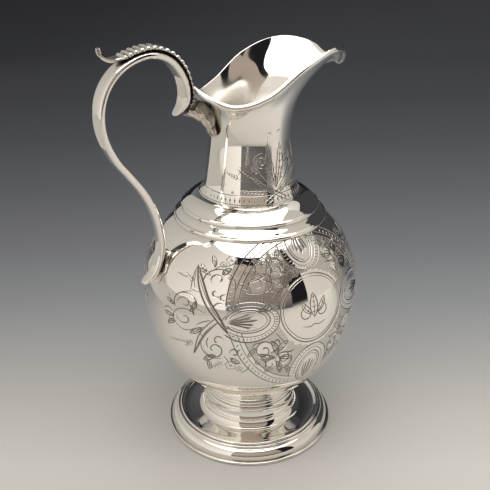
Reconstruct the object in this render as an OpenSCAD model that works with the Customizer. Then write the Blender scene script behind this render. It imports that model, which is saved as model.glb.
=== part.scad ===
// Silver water pitcher: round body on a spreading foot, stepped shoulder,
// slender neck with a high helmet spout, and a hollow scroll handle with a leaf thumb-piece.
// Millimetres. +Z up, +X towards the spout, the handle on the -X side.
// The origin is the centre of the foot, on the surface that the pitcher stands on.

/* [Body] */
// widest radius of the round body
body_r = 62; // [60:0.5:64]
// height of the widest circle
body_z = 95.2;
// height of the upper half above the widest circle
body_up = 57.7;
// depth of the lower half below the widest circle
body_down = 74.4;
// fullness of the upper half, 2 is an ellipse
full_up = 2.1; // [2:0.05:2.3]
// fullness of the lower half
full_down = 1.93; // [1.85:0.01:2.1]
// thickness of the silver sheet
wall = 1.0; // [0.8:0.1:1.2]

/* [Foot] */
// outer radius of the flat wire under the foot
base_r = 51.2; // [50.6:0.2:53]
// height of that wire
base_h = 1.9; // [1.5:0.1:2.2]
// radius of the upright waist just under the collar
waist_r = 26.4; // [26:0.1:26.8]
// height of the joint between the foot and the reeded collar
collar_z = 20.1;

/* [Shoulder] */
// radius of the lower moulded step at its bead
lower_step_r = 42.7;
// height of the lower edge of that bead
lower_step_z = 138.6;
// radius of the upper moulded step at its bead
upper_step_r = 38.5;
// height of the lower edge of that bead
upper_step_z = 144.6;

/* [Neck and spout] */
// height where the neck leaves the upper step
neck_z = 153;
// radius of the neck where it leaves the upper step
neck_base_r = 28.3;
// radius of the neck at its narrowest, under the mouth
neck_r = 22; // [21.6:0.1:22.4]
// widening of the neck towards its foot, as a share of the height
neck_taper = 0.14; // [0.1:0.01:0.15]
// height where the neck starts to open into the mouth
flare_z = 186;
// reach of the spout tip from the axis
spout_reach = 60;
// reach of the back of the mouth, on the handle side
back_reach = 35;
// half width of the mouth
mouth_w = 28.3; // [27:0.1:29.5]
// how much the half width draws in towards the spout tip
lip_in = 8; // [6:0.5:9]

/* [Handle] */
// half width of the strap over the top
strap_w = 5.5; // [5:0.1:5.8]
// half width of the strap where it meets the body
strap_low_w = 3.8; // [3.4:0.1:4.2]
// thickness of the outer, rounded half
outer_h = 1.95; // [1.8:0.05:2.1]
// thickness of the inner, flatter half
inner_h = 1.75; // [1.6:0.05:1.9]
// sheet thickness of the hollow handle
handle_wall = 0.8; // [0.6:0.1:0.9]
// number of ribs along the leaf thumb-piece
leaf_ribs = 22; // [16:1:24]
// half width of the leaf
leaf_w = 5.3; // [4.8:0.1:5.6]

/* [Hidden] */
$fn = 96;
eps = 0.001;

silver = [0.86, 0.85, 0.83];
silver_warm = [0.80, 0.78, 0.74];
silver_grey = [0.72, 0.72, 0.73];

// heights of the rim from the spout tip round to the back, every 22.5 degrees
rim_z = [216.5, 221, 227.5, 228, 221.5, 210, 205.5, 209.5, 213.5];
// slope of the wall as it reaches the rim at the same stations, in degrees above level
rim_slope = [-12, 2, 36, 58, 62, 64, 57, 48, 42];

// centreline of the handle from the inner scroll tip, over the top, down to the tail
handle_route = [[-45.5, 200.5], [-40.5, 205.5], [-39.3, 212], [-41.5, 220.5], [-47.5, 228],
                [-56.5, 231.3], [-66, 229.8], [-74.8, 224.8], [-81.2, 216.8], [-84.2, 206.5],
                [-83.4, 195.5], [-79, 184.5], [-72.3, 175], [-66, 166], [-60.8, 156],
                [-57.5, 145], [-56.4, 135], [-57.6, 126.5], [-61, 118.5], [-68, 112.8]];
// station where the cast scroll end is soldered to the hollow part
seam_at = 2.4;

// centreline of the leaf from the bracket, over the top, to its curled tip
leaf_route = [[-37.5, 202.2], [-36.35, 208], [-36.85, 215], [-40, 223.8], [-46.5, 230.9],
              [-55.6, 234.2], [-64.5, 233.2], [-71.8, 230.9], [-77.8, 230.6], [-81.3, 233.2],
              [-82, 236.4]];

// centreline of the bracket from the scroll to the neck
bracket_route = [[-38.6, 203], [-35.4, 200.8], [-31.8, 199.6], [-28.2, 197.4], [-25.4, 193.6],
                 [-23.6, 189.4], [-22.8, 186.8]];

// ---------- helpers ----------

// point on a smooth curve through the list P at station t, counted from 0
function along(P, t) =
    let (n = len(P) - 1, i = min(n - 1, max(0, floor(t))), u = t - i,
         a = P[max(0, i - 1)], b = P[i], c = P[i + 1], d = P[min(n, i + 2)])
    0.5 * (2 * b + (c - a) * u + (2 * a - 5 * b + 4 * c - d) * u * u
           + (3 * b - a - 3 * c + d) * u * u * u);

function unit(v) = v / max(norm(v), eps);
function lerp(a, b, t) = a + (b - a) * t;
function smooth(t) = let (u = min(1, max(0, t))) u * u * (3 - 2 * u);
function curl(c, r, a0, a1, n) = [for (i = [0:n]) let (a = lerp(a0, a1, i / n)) c + r * [cos(a), sin(a)]];
function backward(P) = [for (i = [len(P) - 1:-1:0]) P[i]];

// radius of the body at height z, and height of its lower or upper half at radius r
function body_radius(z, t = 0) =
    z >= body_z
        ? (body_r - t) * pow(max(0, 1 - pow((z - body_z) / (body_up - t), full_up)), 1 / full_up)
        : (body_r - t) * pow(max(0, 1 - pow((body_z - z) / (body_down - t), full_down)), 1 / full_down);
function low_z(r, t = 0) =
    body_z - (body_down - t) * pow(1 - pow(r / (body_r - t), full_down), 1 / full_down);
function high_z(r, t = 0) =
    body_z + (body_up - t) * pow(1 - pow(r / (body_r - t), full_up), 1 / full_up);

// one side of the bowl, from the bottom centre up to the open top
function bowl_curve(t, top_r) = concat(
    [for (a = [0:3:87]) let (r = (body_r - t) * sin(a)) [r, low_z(r, t)]],
    [for (a = [0:3:90]) let (r = lerp(body_r - t, top_r, sin(a / 2) / sin(45) * sin(a / 2) / sin(45)))
        [r, high_z(r, t)]]);

// moves an open curve sideways by t, to the left of its direction
function shift(P, t) = [for (i = [0:len(P) - 1])
    let (a = P[max(0, i - 1)], b = P[min(len(P) - 1, i + 1)], d = unit(b - a)) P[i] + t * [-d[1], d[0]]];

// triangles for n rings of m points, closed round each ring
function skin(n, m) = [for (i = [0:n - 2], j = [0:m - 1]) let (k = (j + 1) % m)
    each [[i * m + j, i * m + k, (i + 1) * m + k], [i * m + j, (i + 1) * m + k, (i + 1) * m + j]]];
function cap_start(m) = [for (j = [m - 1:-1:0]) j];
function cap_end(n, m) = [for (j = [0:m - 1]) (n - 1) * m + j];

// solid swept along rings that are already placed in space
module tube(rings) {
    n = len(rings);
    m = len(rings[0]);
    polyhedron([for (r = rings) each r], concat(skin(n, m), [cap_start(m), cap_end(n, m)]), convexity = 8);
}

// the same for a C-shaped section, whose ring runs out along one face and back along the other
module channel(rings) {
    n = len(rings);
    m = len(rings[0]);
    ends = [for (j = [0:m / 2 - 2]) let (k = m - 1 - j) each [[j, k, j + 1], [j + 1, k, k - 1]]];
    polyhedron([for (r = rings) each r],
        concat(skin(n, m), ends, [for (t = ends) [for (j = [2:-1:0]) t[j] + (n - 1) * m]]), convexity = 8);
}

// solid swept along rings that close on themselves
module loop_tube(rings) {
    n = len(rings);
    m = len(rings[0]);
    polyhedron([for (r = rings) each r],
        [for (i = [0:n - 1], j = [0:m - 1]) let (p = (i + 1) % n, k = (j + 1) % m)
            each [[i * m + j, i * m + k, p * m + k], [i * m + j, p * m + k, p * m + j]]], convexity = 8);
}

// ---------- body ----------

module body_bowl() {
    color(silver)
    rotate_extrude()
    polygon(concat(bowl_curve(0, 41.4), backward(bowl_curve(wall, 40.6))));
}

// ---------- foot ----------

// outside of the foot from the joint with the collar, down and out to the base wire
function foot_curve() = concat(
    [[waist_r, collar_z], [waist_r + 0.2, 18], [waist_r + 0.9, 15.4]],
    [for (a = [0:15:90]) [waist_r + 6.2, 15] + [-5 * cos(a), -6.2 * sin(a)]],
    [[35.5, 8.5], [38.5, 8.4], [41, 8.7]],
    curl([42.9, 9.3], 1.05, 165, -20, 7),
    curl([44.8, 8.5], 0.85, 110, -15, 6),
    [for (a = [76:-12:4]) [44.9, 2] + [4.6 * cos(a), 5.9 * sin(a)]],
    [[49.5, base_h]]);

module foot() {
    color(silver)
    rotate_extrude()
    polygon(concat(foot_curve(), [[48.4, base_h]],
        [for (a = [10:12:70]) [44.7, 1.4] + [3.7 * cos(a), 5 * sin(a)]],
        [[44.5, 7], [43, 7.7], [41, 7.5], [38.5, 7.3], [35.5, 7.4], [32.4, 7.8]],
        [for (a = [75:-15:15]) [waist_r + 6.2, 15] + [-6 * cos(a), -7.1 * sin(a)]],
        [[waist_r - 0.1, 15.2], [waist_r - 0.8, 18], [waist_r - 1, collar_z]]));
}

module foot_base_wire() {
    color(silver_grey)
    rotate_extrude()
    polygon(concat([[47.2, 0], [base_r - 0.4, 0]],
        curl([base_r - 0.6, 0.6], 0.6, -60, 0, 3),
        curl([base_r - 0.8, base_h - 0.8], 0.8, 0, 90, 5),
        [[47.2, base_h]]));
}

// three turned beads between the foot and the body
module foot_collar() {
    color(silver_warm)
    rotate_extrude()
    polygon(concat(
        [[24.4, collar_z], [waist_r + 0.2, collar_z]],
        curl([26.3, 21.65], 1.5, -75, 75, 9),
        curl([26.2, 24.1], 1.05, -60, 60, 7),
        curl([26.1, 26.05], 1.0, -60, 60, 7),
        [[26.5, 27.2], [26.9, 28], [27.2, low_z(27.2) - eps]],
        [for (r = [26.6, 26, 25.4, 24.8, 24.4]) [r, low_z(r) - eps]]));
}

// ---------- shoulder ----------

module shoulder_lower_step() {
    r = lower_step_r;
    z = lower_step_z;
    color(silver_grey)
    rotate_extrude()
    polygon(concat(
        [[r - 0.6, z]],
        curl([r - 1.2, z + 1.2], 1.2, -55, 80, 9),
        [[r - 1.5, z + 2.5], [r - 2.8, z + 3.9], [r - 4, z + 5], [r - 4.9, z + 6 - eps]],
        [[r - 6.4, z + 6 - eps], [r - 5.4, z + 4.8], [r - 4, z + 3.6], [r - 2.9, z + 2.4]],
        [for (rr = [r - 2.2, r - 1.4]) [rr, high_z(rr) + eps]]));
}

module shoulder_upper_step() {
    r = upper_step_r;
    z = upper_step_z;
    color(silver)
    rotate_extrude()
    polygon(concat(
        [[r - 2.2, z], [r - 0.6, z]],
        curl([r - 1.2, z + 1.2], 1.2, -55, 75, 9),
        [for (i = [0:6]) let (u = i / 6)
            [lerp(r - 1.2, neck_base_r, u), lerp(z + 2.7, neck_z, u) + 1.0 * sin(180 * u)]],
        [[neck_base_r - wall, neck_z]],
        [for (i = [6:-1:0]) let (u = i / 6)
            [lerp(r - 2.2, neck_base_r - wall, u), lerp(z + 1.5, neck_z - 1, u) + 0.9 * sin(180 * u)]]));
}

// ---------- neck, spout and rim ----------

// radius of the round part of the neck at height z: a gentle cone with a short skirt at its foot
function neck_cone(z) = let (w = max(0, flare_z - z)) neck_r + neck_taper * w * w / (w + 4);
function neck_radius(z) =
    neck_cone(z) + (neck_base_r - neck_cone(neck_z)) * pow(max(0, 1 - (z - neck_z) / 9), 2.4);

// value at angle a from the spout tip, read from a list with one entry each 22.5 degrees
function round_rim(L, a) =
    let (b = abs(a) > 180 ? 360 - abs(a) : abs(a), t = b / 22.5, n = 8, i = min(n - 1, floor(t)), u = t - i,
         p = L[abs(i - 1)], q = L[i], r = L[i + 1], s = L[i + 2 > n ? 2 * n - i - 2 : i + 2])
    0.5 * (2 * q + (r - p) * u + (2 * p - 5 * q + 4 * r - s) * u * u + (3 * q - p - 3 * r + s) * u * u * u);

function rim_half_w(a) = let (s = (1 + cos(a)) / 2) mouth_w - lip_in * pow(max(0, (s - 0.8) / 0.2), 1.2);
function rim_point(a) = [(spout_reach - back_reach) / 2 + (spout_reach + back_reach) / 2 * cos(a),
                         rim_half_w(a) * sin(a), round_rim(rim_z, a)];
// level direction square to the rim, pointing outwards
function rim_out(a) = let (d = rim_point(a + 1) - rim_point(a - 1)) unit([d[1], -d[0], 0]);
// direction of the wall as it reaches the rim
function rim_rise(a) = let (e = round_rim(rim_slope, a)) cos(e) * rim_out(a) + [0, 0, sin(e)];

// point on the opening part of the neck, v from 0 at the round neck to 1 at the rim
function flare(a, v) =
    let (p0 = [neck_r * cos(a), neck_r * sin(a), flare_z], p3 = rim_point(a),
         h = p3[2] - flare_z, w = norm([p3[0] - p0[0], p3[1] - p0[1]]),
         p1 = p0 + [0, 0, 0.55 * h], p2 = p3 - (0.28 * h + 0.22 * w) * rim_rise(a), u = 1 - v)
    u * u * u * p0 + 3 * u * u * v * p1 + 3 * u * v * v * p2 + v * v * v * p3;
function flare_out(a, v) = unit(cross(flare(a + 2, v) - flare(a - 2, v),
                                      flare(a, min(1, v + 0.02)) - flare(a, max(0, v - 0.02))));

neck_sides = 72;
function neck_ring(z, t) = [for (j = [0:neck_sides - 1]) let (a = 360 * j / neck_sides)
    [(neck_radius(z) - t) * cos(a), (neck_radius(z) - t) * sin(a), z]];
function flare_ring(v, t) = [for (j = [0:neck_sides - 1]) let (a = 360 * j / neck_sides)
    flare(a, v) - t * flare_out(a, v)];

module neck_and_spout() {
    heights = [0, 0.04, 0.08, 0.13, 0.19, 0.27, 0.45, 0.7, 0.86];
    steps = [for (i = [0:11]) i / 11];
    outside = concat([for (u = heights) neck_ring(lerp(neck_z, flare_z, u), 0)],
                     [for (v = steps) flare_ring(v, 0)]);
    inside = concat([for (u = heights) neck_ring(lerp(neck_z, flare_z, u), wall)],
                    [for (v = steps) flare_ring(v, wall)]);
    color(silver)
    loop_tube(concat(outside, backward(inside)));
}

// outline of the reeded wire: x outwards from the wall, y up past the edge
function wire_outline() = concat(
    [[eps, -4.35]],
    curl([0.06, -4.05], 0.26, -50, 50, 2),
    curl([0.16, -3.05], 0.55, -62, 62, 4),
    curl([0.1, -0.95], 1.42, -52, 100, 8),
    [[-0.85, 0.3], [-0.95, eps], [eps, eps]]);

module rim_wire() {
    n = 84;
    color(silver_warm)
    loop_tube([for (i = [0:n - 1])
        let (a = 360 * i / n, p = rim_point(a), t = unit(rim_point(a + 1) - rim_point(a - 1)),
             up = unit(rim_rise(a) - (rim_rise(a) * t) * t), out = cross(t, up))
        [for (q = backward(wire_outline())) p + q[0] * out + q[1] * up]]);
}

// ---------- handle ----------

// place for a section at station t: x is across the strap, y is outwards from the curl
function placed(route, t, q) =
    let (c = along(route, t), d = unit(along(route, t + 0.02) - along(route, t - 0.02)))
    [c[0] + q[1] * d[1], q[0], c[1] - q[1] * d[0]];

// half width of the strap at station t, with a rounded tail
function strap(t) = lerp(strap_w, strap_low_w, smooth((t - 10) / 5))
    * sqrt(max(0.02, 1 - pow(max(0, t - 17.6) / 1.4, 4)));
function depth(t) = lerp(1, 0.55, smooth((t - 17) / 2));

// one half of the hollow strap: s is 1 for the outer half and -1 for the inner half
function half_section(w, h, s, e) = concat(
    [for (a = [0:18:180]) let (c = cos(a)) [sign(c) * w * pow(abs(c), e), s * h * pow(sin(a), 0.8)]],
    [for (a = [180:-18:0]) let (c = cos(a), k = handle_wall)
        [sign(c) * max(0.1, w - k) * pow(abs(c), e), s * max(0.15, h - k) * pow(sin(a), 0.8)]]);

function shell_rings(s, h, e) = [for (i = [0:60])
    let (t = lerp(seam_at, 19, i / 60), q = half_section(strap(t), h * depth(t), s, e))
    [for (p = s > 0 ? q : backward(q)) placed(handle_route, t, p)]];

module handle_outer_shell() {
    color(silver)
    channel(shell_rings(1, outer_h, 0.55));
}

module handle_inner_shell() {
    color(silver_grey)
    channel(shell_rings(-1, inner_h, 0.42));
}

// solid end of the scroll, inside the curl
module handle_scroll_end() {
    n = 16;
    color(silver_warm)
    tube([for (i = [0:n]) let (
            u = i / n, t = min(seam_at * u, seam_at - eps),
            k = sqrt(max(0.03, 1 - pow(1 - u, 5))),
            g = lerp(0.55, 1, smooth(u * 1.3)) * k,
            w = strap_w * lerp(0.75, 1, smooth(u * 1.5)) * k)
        [for (a = [0:18:342]) let (c = cos(a), s = sin(a), h = s > 0 ? outer_h : inner_h)
            placed(handle_route, t,
                [sign(c) * w * pow(abs(c), 0.5), h * g * sign(s) * pow(abs(s), 0.8)])]]);
}

// ribbed leaf that lies along the top of the handle and curls up at its tip
module handle_leaf() {
    n = 165;
    last = len(leaf_route) - 1;
    color(silver_warm)
    tube([for (i = [0:n]) let (
            u = i / n, t = last * u, s = t / 7,
            grow = smooth(u * 9), fade = 1 - smooth((u - 0.64) / 0.34),
            plain = smooth((u - 0.67) / 0.05),
            rib = abs(sin(180 * leaf_ribs * (1.18 - 0.18 * s) * s)) * (1 - plain),
            w = max(0.6, leaf_w * (0.35 + 0.65 * grow) * (0.24 + 0.76 * fade) * (0.9 + 0.12 * rib)),
            h = lerp(0.5, 0.62, grow) * lerp(1, 2.3, smooth((t - 1.9) / 1.6))
                * (0.45 + 0.8 * rib + 0.5 * plain) * lerp(1, 0.5, smooth((u - 0.85) / 0.15)),
            low = min(0.8, h))
        [for (p = [[w, 0], [w * 0.94, h * 0.75], [w * 0.62, h * 0.9], [w * 0.22, h * 1.15],
                   [-w * 0.22, h * 1.15], [-w * 0.62, h * 0.9], [-w * 0.94, h * 0.75], [-w, 0],
                   [-w * 0.7, -low], [0, -low * 1.1], [w * 0.7, -low]])
            placed(leaf_route, t, p)]]);
}

// radius of the neck on the handle side, up to the mouth
function neck_back(z) = let (u = max(0, z - flare_z) / (rim_z[8] - flare_z))
    neck_radius(z) + (back_reach - neck_r) * pow(u, 2.4);
// pushes a point out to the neck, so that a casting lies on it
function off_neck(p) = let (d = norm([p[0], p[1]]), r = neck_back(p[2]) + eps)
    d < r ? [p[0] * r / d, p[1] * r / d, p[2]] : p;

module handle_upper_bracket() {
    n = 30;
    last = len(bracket_route) - 1;
    color(silver_grey)
    tube([for (i = [0:n]) let (
            u = i / n, t = last * u, lobe = abs(sin(180 * (4 * u + 0.2))),
            swell = smooth((u - 0.15) / 0.25) * (1 - smooth((u - 0.6) / 0.35)),
            tail = sqrt(max(0.05, 1 - pow(max(0, u - 0.75) / 0.25, 3))),
            w = lerp(4.2, 4.0, u) * (0.88 + 0.22 * lobe) * tail,
            under = (lerp(2.4, 1.4, u) + 0.7 * swell) * (0.9 + 0.2 * lobe),
            web = smooth((u - 0.04) / 0.24) * (1 - smooth((u - 0.5) / 0.35)),
            over = (lerp(0.9, 1.3, u) + 6 * web) * (0.9 + 0.15 * lobe))
        [for (a = [0:30:330]) let (c = cos(a), s = sin(a), h = s > 0 ? 1.25 * under : over)
            off_neck(placed(bracket_route, t, [w * sign(c) * pow(abs(c), 0.8), h * s]))]]);
}

// reach of the handle's inner face at height z, near the body
function handle_face(z) = lerp(54.3, 60.6, smooth((134 - z) / 22)) - 0.4;

// leaf-shaped casting between the body and the handle
module handle_lower_mount() {
    rows = 16;
    cols = 12;
    function at(i, j, t) = let (
        v = i / rows, u = 2 * j / cols - 1, z = lerp(128.5, 112, v),
        w = 6.4 * pow(sin(180 * (0.06 + 0.88 * v)), 0.6) * (0.86 + 0.14 * cos(720 * v)),
        y = u * w, r = body_radius(z) + eps, ridge = pow(max(0, 1 - abs(u) * 1.3), 0.5),
        thick = t * (0.45 + 1.0 * (1 - u * u) * (0.8 + 0.2 * cos(1080 * v))),
        far = t * ridge * max(0, min(3.6, handle_face(z) - r)), q = r + max(thick, far))
        [-sqrt(q * q - y * y), y, z];
    color(silver_grey)
    tube([for (i = [0:rows]) concat(
        [for (j = [0:cols]) at(i, j, 0)],
        [for (j = [cols:-1:0]) at(i, j, 1)])]);
}

body_bowl();
shoulder_lower_step();
shoulder_upper_step();
neck_and_spout();
rim_wire();
foot_collar();
foot();
foot_base_wire();
handle_outer_shell();
handle_inner_shell();
handle_scroll_end();
handle_leaf();
handle_upper_bracket();
handle_lower_mount();
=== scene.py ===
# Silver water pitcher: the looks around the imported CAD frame.
# Shapes are worked out in millimetres and written to the meshes in metres.
import math

import bmesh
import bpy
import numpy as np
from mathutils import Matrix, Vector
from mathutils.geometry import delaunay_2d_cdt
from mathutils.kdtree import KDTree


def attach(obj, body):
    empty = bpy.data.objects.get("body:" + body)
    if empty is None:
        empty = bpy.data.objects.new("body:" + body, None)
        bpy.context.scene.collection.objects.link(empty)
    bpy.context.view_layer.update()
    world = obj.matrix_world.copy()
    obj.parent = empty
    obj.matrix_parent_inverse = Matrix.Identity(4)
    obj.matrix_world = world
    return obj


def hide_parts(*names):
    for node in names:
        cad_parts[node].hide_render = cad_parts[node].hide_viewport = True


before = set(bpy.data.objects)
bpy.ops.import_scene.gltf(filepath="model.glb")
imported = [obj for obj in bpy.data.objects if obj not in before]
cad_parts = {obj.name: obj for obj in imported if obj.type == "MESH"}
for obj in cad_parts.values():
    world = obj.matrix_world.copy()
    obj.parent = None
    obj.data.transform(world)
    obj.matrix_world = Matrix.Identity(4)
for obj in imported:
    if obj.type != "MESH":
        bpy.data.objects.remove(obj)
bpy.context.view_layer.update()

MM = 0.001
VIEW = math.radians(33)      # the camera stands this far round from -Y, on the handle side
RIGHT = np.array([math.cos(VIEW), -math.sin(VIEW), 0.0])
TOWARDS = np.array([-math.sin(VIEW), -math.cos(VIEW), 0.0])


# ------------------------------------------------------------------ helpers

def smooth(t):
    u = min(1.0, max(0.0, t))
    return u * u * (3 - 2 * u)


def lerp(a, b, t):
    return a + (b - a) * t


def unit(v):
    v = np.asarray(v, float)
    return v / np.maximum(np.linalg.norm(v, axis=-1, keepdims=True), 1e-9)


def along(points, t):
    """Point on a smooth curve through the list at station t, counted from 0."""
    P = np.asarray(points, float)
    n = len(P) - 1
    i = int(min(n - 1, max(0, math.floor(t))))
    u = t - i
    a, b, c, d = P[max(0, i - 1)], P[i], P[i + 1], P[min(n, i + 2)]
    return 0.5 * (2 * b + (c - a) * u + (2 * a - 5 * b + 4 * c - d) * u * u
                  + (3 * b - a - 3 * c + d) * u ** 3)


def through(points, step=0.5):
    """The same curve as a list of points about step apart."""
    P = np.asarray(points, float)
    out = []
    for i in range(len(P) - 1):
        n = max(1, int(round(np.linalg.norm(P[i + 1] - P[i]) / step)))
        out += [along(P, i + k / n) for k in range(n)]
    return out + [P[-1]]


def cos_sin(degrees):
    return math.cos(math.radians(degrees)), math.sin(math.radians(degrees))


def ellipse(cx, cy, rx, ry, degrees):
    """Points at those angles round an ellipse."""
    return [(cx + rx * c, cy + ry * s) for c, s in map(cos_sin, degrees)]


def curl(cx, cy, r, a0, a1, n):
    return ellipse(cx, cy, r, r, [lerp(a0, a1, i / n) for i in range(n + 1)])


def make_piece(name, node, slot, material, verts, faces, sharp=32.0, closed=True, normals=None, marks=None):
    """A mesh object from millimetre points that stands for one CAD node and rides on the root body."""
    me = bpy.data.meshes.new(name)
    me.from_pydata((np.asarray(verts, float) * MM).tolist(), [], [list(map(int, f)) for f in faces])
    me.update()
    for key, (domain, values) in (marks or {}).items():
        layer = me.attributes.new(key, "FLOAT", domain)
        layer.data.foreach_set("value", np.asarray(values, np.float32))
    if closed:
        bm = bmesh.new()
        bm.from_mesh(me)
        bmesh.ops.remove_doubles(bm, verts=bm.verts, dist=1e-7)
        bmesh.ops.recalc_face_normals(bm, faces=bm.faces)
        bm.to_mesh(me)
        bm.free()
    me.polygons.foreach_set("use_smooth", [True] * len(me.polygons))
    if normals is None:
        me.set_sharp_from_angle(angle=math.radians(sharp))
    else:
        me.normals_split_custom_set([tuple(n) for n in normals])
    me.materials.append(material)
    ob = bpy.data.objects.new(name, me)
    bpy.context.scene.collection.objects.link(ob)
    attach(ob, "root")
    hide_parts(node)


def lathe(outline, sides=224):
    """Points and quads of a closed outline of (r, z) turned round the axis. Points at r 0 become poles."""
    verts, faces, rings = [], [], []
    for r, z in outline:
        if r < 1e-6:
            rings.append([len(verts)])
            verts.append((0, 0, z))
        else:
            rings.append(list(range(len(verts), len(verts) + sides)))
            for k in range(sides):
                a = 2 * math.pi * k / sides
                verts.append((r * math.cos(a), r * math.sin(a), z))
    for i in range(len(rings)):
        p, q = rings[i], rings[(i + 1) % len(rings)]
        if len(p) == 1 and len(q) == 1:
            continue
        for k in range(sides):
            j = (k + 1) % sides
            if len(p) == 1:
                faces.append((p[0], q[k], q[j]))
            elif len(q) == 1:
                faces.append((p[k], p[j], q[0]))
            else:
                faces.append((p[k], p[j], q[j], q[k]))
    return verts, faces


def sweep(rings, ends=True):
    """Quads over rings of equal length; the ends are closed with a fan, or the rings close on themselves."""
    n, m = len(rings), len(rings[0])
    verts = [p for ring in rings for p in ring]
    faces = []
    for i in range(n - 1 if ends else n):
        k = (i + 1) % n
        for j in range(m):
            l = (j + 1) % m
            faces.append((i * m + j, i * m + l, k * m + l, k * m + j))
    if ends:
        for i in (0, n - 1):
            centre = np.mean(np.asarray(rings[i], float), 0)
            verts.append(centre)
            c = len(verts) - 1
            faces += [(i * m + j, i * m + (j + 1) % m, c) for j in range(m)]
    return verts, faces


# ------------------------------------------------------------------ materials

class Nodes:
    """A new material, with short names for the nodes that it is built from."""

    def __init__(self, name):
        self.material = bpy.data.materials.new(name)
        self.material.use_nodes = True
        self.tree = self.material.node_tree

    def put(self, socket, value):
        """Gives a socket a number or colour, or links another node's output to it."""
        if isinstance(value, bpy.types.NodeSocket):
            self.tree.links.new(value, socket)
        elif isinstance(value, tuple) and socket.type == "RGBA":
            socket.default_value = (*value, 1)
        else:
            socket.default_value = value

    def new(self, kind, **inputs):
        n = self.tree.nodes.new("ShaderNode" + kind)
        for name, value in inputs.items():
            self.put(n.inputs[name], value)
        return n

    def where(self):
        return self.new("TexCoord").outputs["Object"]

    def noise(self, scale, detail, rough, stretch=(1, 1, 1)):
        mapped = self.new("Mapping", Vector=self.where(), Scale=stretch).outputs["Vector"]
        return self.new("TexNoise", Vector=mapped, Scale=scale, Detail=detail, Roughness=rough).outputs["Fac"]

    def ramp(self, value, *stops):
        """Colour ramp; a stop's tone is one number for grey or three for a colour."""
        r = self.new("ValToRGB", Fac=value)
        el = r.color_ramp.elements
        while len(el) < len(stops):
            el.new(0.5)
        for e, (pos, tone) in zip(el, stops):
            e.position = pos
            e.color = (*tone, 1) if isinstance(tone, tuple) else (tone, tone, tone, 1)
        return r.outputs["Color"]

    def calc(self, op, a, b, clamp=False):
        n = self.new("Math")
        n.operation, n.use_clamp = op, clamp
        self.put(n.inputs[0], a)
        self.put(n.inputs[1], b)
        return n.outputs[0]

    def add(self, a, b, clamp=False):
        return self.calc("ADD", a, b, clamp)

    def mul(self, a, b, clamp=False):
        return self.calc("MULTIPLY", a, b, clamp)

    def mix(self, fac, a, b, blend="MIX"):
        n = self.new("Mix")
        n.data_type, n.blend_type = "RGBA", blend
        for key, value in (("Factor", fac), ("A", a), ("B", b)):
            self.put(next(s for s in n.inputs if s.name == key and s.enabled), value)
        return next(s for s in n.outputs if s.enabled)

    def along(self, axis):
        """How far the point lies along a fixed direction of the scene, in metres."""
        n = self.new("VectorMath")
        n.operation = "DOT_PRODUCT"
        self.put(n.inputs[0], self.new("NewGeometry").outputs["Position"])
        self.put(n.inputs[1], tuple(axis))
        return n.outputs["Value"]

    def attribute(self, name, output="Fac"):
        n = self.new("Attribute")
        n.attribute_name = name
        return n.outputs[output]

    def finish(self, **inputs):
        for name, value in inputs.items():
            self.put(self.tree.nodes["Principled BSDF"].inputs[name.replace("_", " ")], value)
        return self.material


RECESS_SHADE_AND_TARNISH = (0.20, 0.185, 0.165)       # painted shade in recesses, where ambient occlusion darkens the colour, together with grey tarnish
TARNISH = (0.085, 0.075, 0.065)      # at the bottom of the cuts
PRICKED = (0.30, 0.28, 0.25)         # dull ground between the scrolls


def silver(name, bright, grey, rough, recess, waviness, engraved=False, grain=0.0, reach=0.0022):
    """Silver with a soft polish, hairline scratches, faint grey toning, and recesses darkened by ambient occlusion
    as painted shade together with tarnish.
    """
    m = Nodes(name)
    # broad faint toning, a little greyer and warmer in patches
    toning = m.ramp(m.noise(34, 4, 0.55), (0.36, 0), (0.74, 1))
    colour = m.mix(m.mul(toning, 0.35), bright, grey)
    # painted shade: the colour darkens towards the recess colour where ambient occlusion finds the surface
    # enclosed, for shade as well as tarnish
    ao = m.new("AmbientOcclusion", Distance=reach)
    ao.samples = 6
    recess_shade_and_tarnish = m.mul(m.calc("SUBTRACT", 1.0, ao.outputs["AO"], True), recess, True)
    colour = m.mix(recess_shade_and_tarnish, colour, RECESS_SHADE_AND_TARNISH)
    # roughness: polishing haze plus hairlines that run round the piece
    haze = m.ramp(m.noise(90, 3, 0.6), (0.3, rough * 0.7), (0.8, rough * 1.5))
    hair = m.ramp(m.noise(260, 2, 0.7, (1, 1, 14)), (0.55, 0), (0.75, 0.022))
    roughness = m.add(m.add(haze, hair), m.mul(recess_shade_and_tarnish, 0.25), True)
    # heights in metres: slow waves, hairlines, and the skin of a casting
    height = m.mul(m.noise(62, 1, 0.4), waviness)
    height = m.add(height, m.mul(m.noise(1500, 2, 0.6, (1, 1, 9)), 0.0000009))
    if grain:
        height = m.add(height, m.mul(m.noise(700, 3, 0.6), grain))
    if engraved:
        dark = m.ramp(m.attribute("cut"), (0.0, 0), (0.35, 0.55), (1.0, 0.92))
        mat = m.attribute("mat")
        colour = m.mix(m.mul(mat, 0.42), m.mix(dark, colour, TARNISH), PRICKED)
        roughness = m.add(m.add(roughness, m.mul(dark, 0.28)), m.mul(mat, 0.16))
        # the throat was never buffed as brightly as the outside
        roughness = m.add(roughness, m.mul(m.attribute("haze"), 0.3), True)
        dots = m.new("TexVoronoi", Vector=m.where(), Scale=1500).outputs["Distance"]
        height = m.add(height, m.mul(m.mul(dots, mat), 0.00009))
    bump = m.new("Bump", Strength=1.0, Distance=1.0, Height=height).outputs["Normal"]
    return m.finish(Metallic=1.0, Normal=bump, Base_Color=colour, Roughness=roughness)


BRIGHT, GREY = (0.95, 0.93, 0.89), (0.86, 0.83, 0.78)
POLISHED = silver("polished_silver", BRIGHT, GREY, 0.035, 0.9, 0.000012)
ENGRAVED = silver("engraved_silver", BRIGHT, GREY, 0.035, 0.5, 0.000012, engraved=True)
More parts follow.
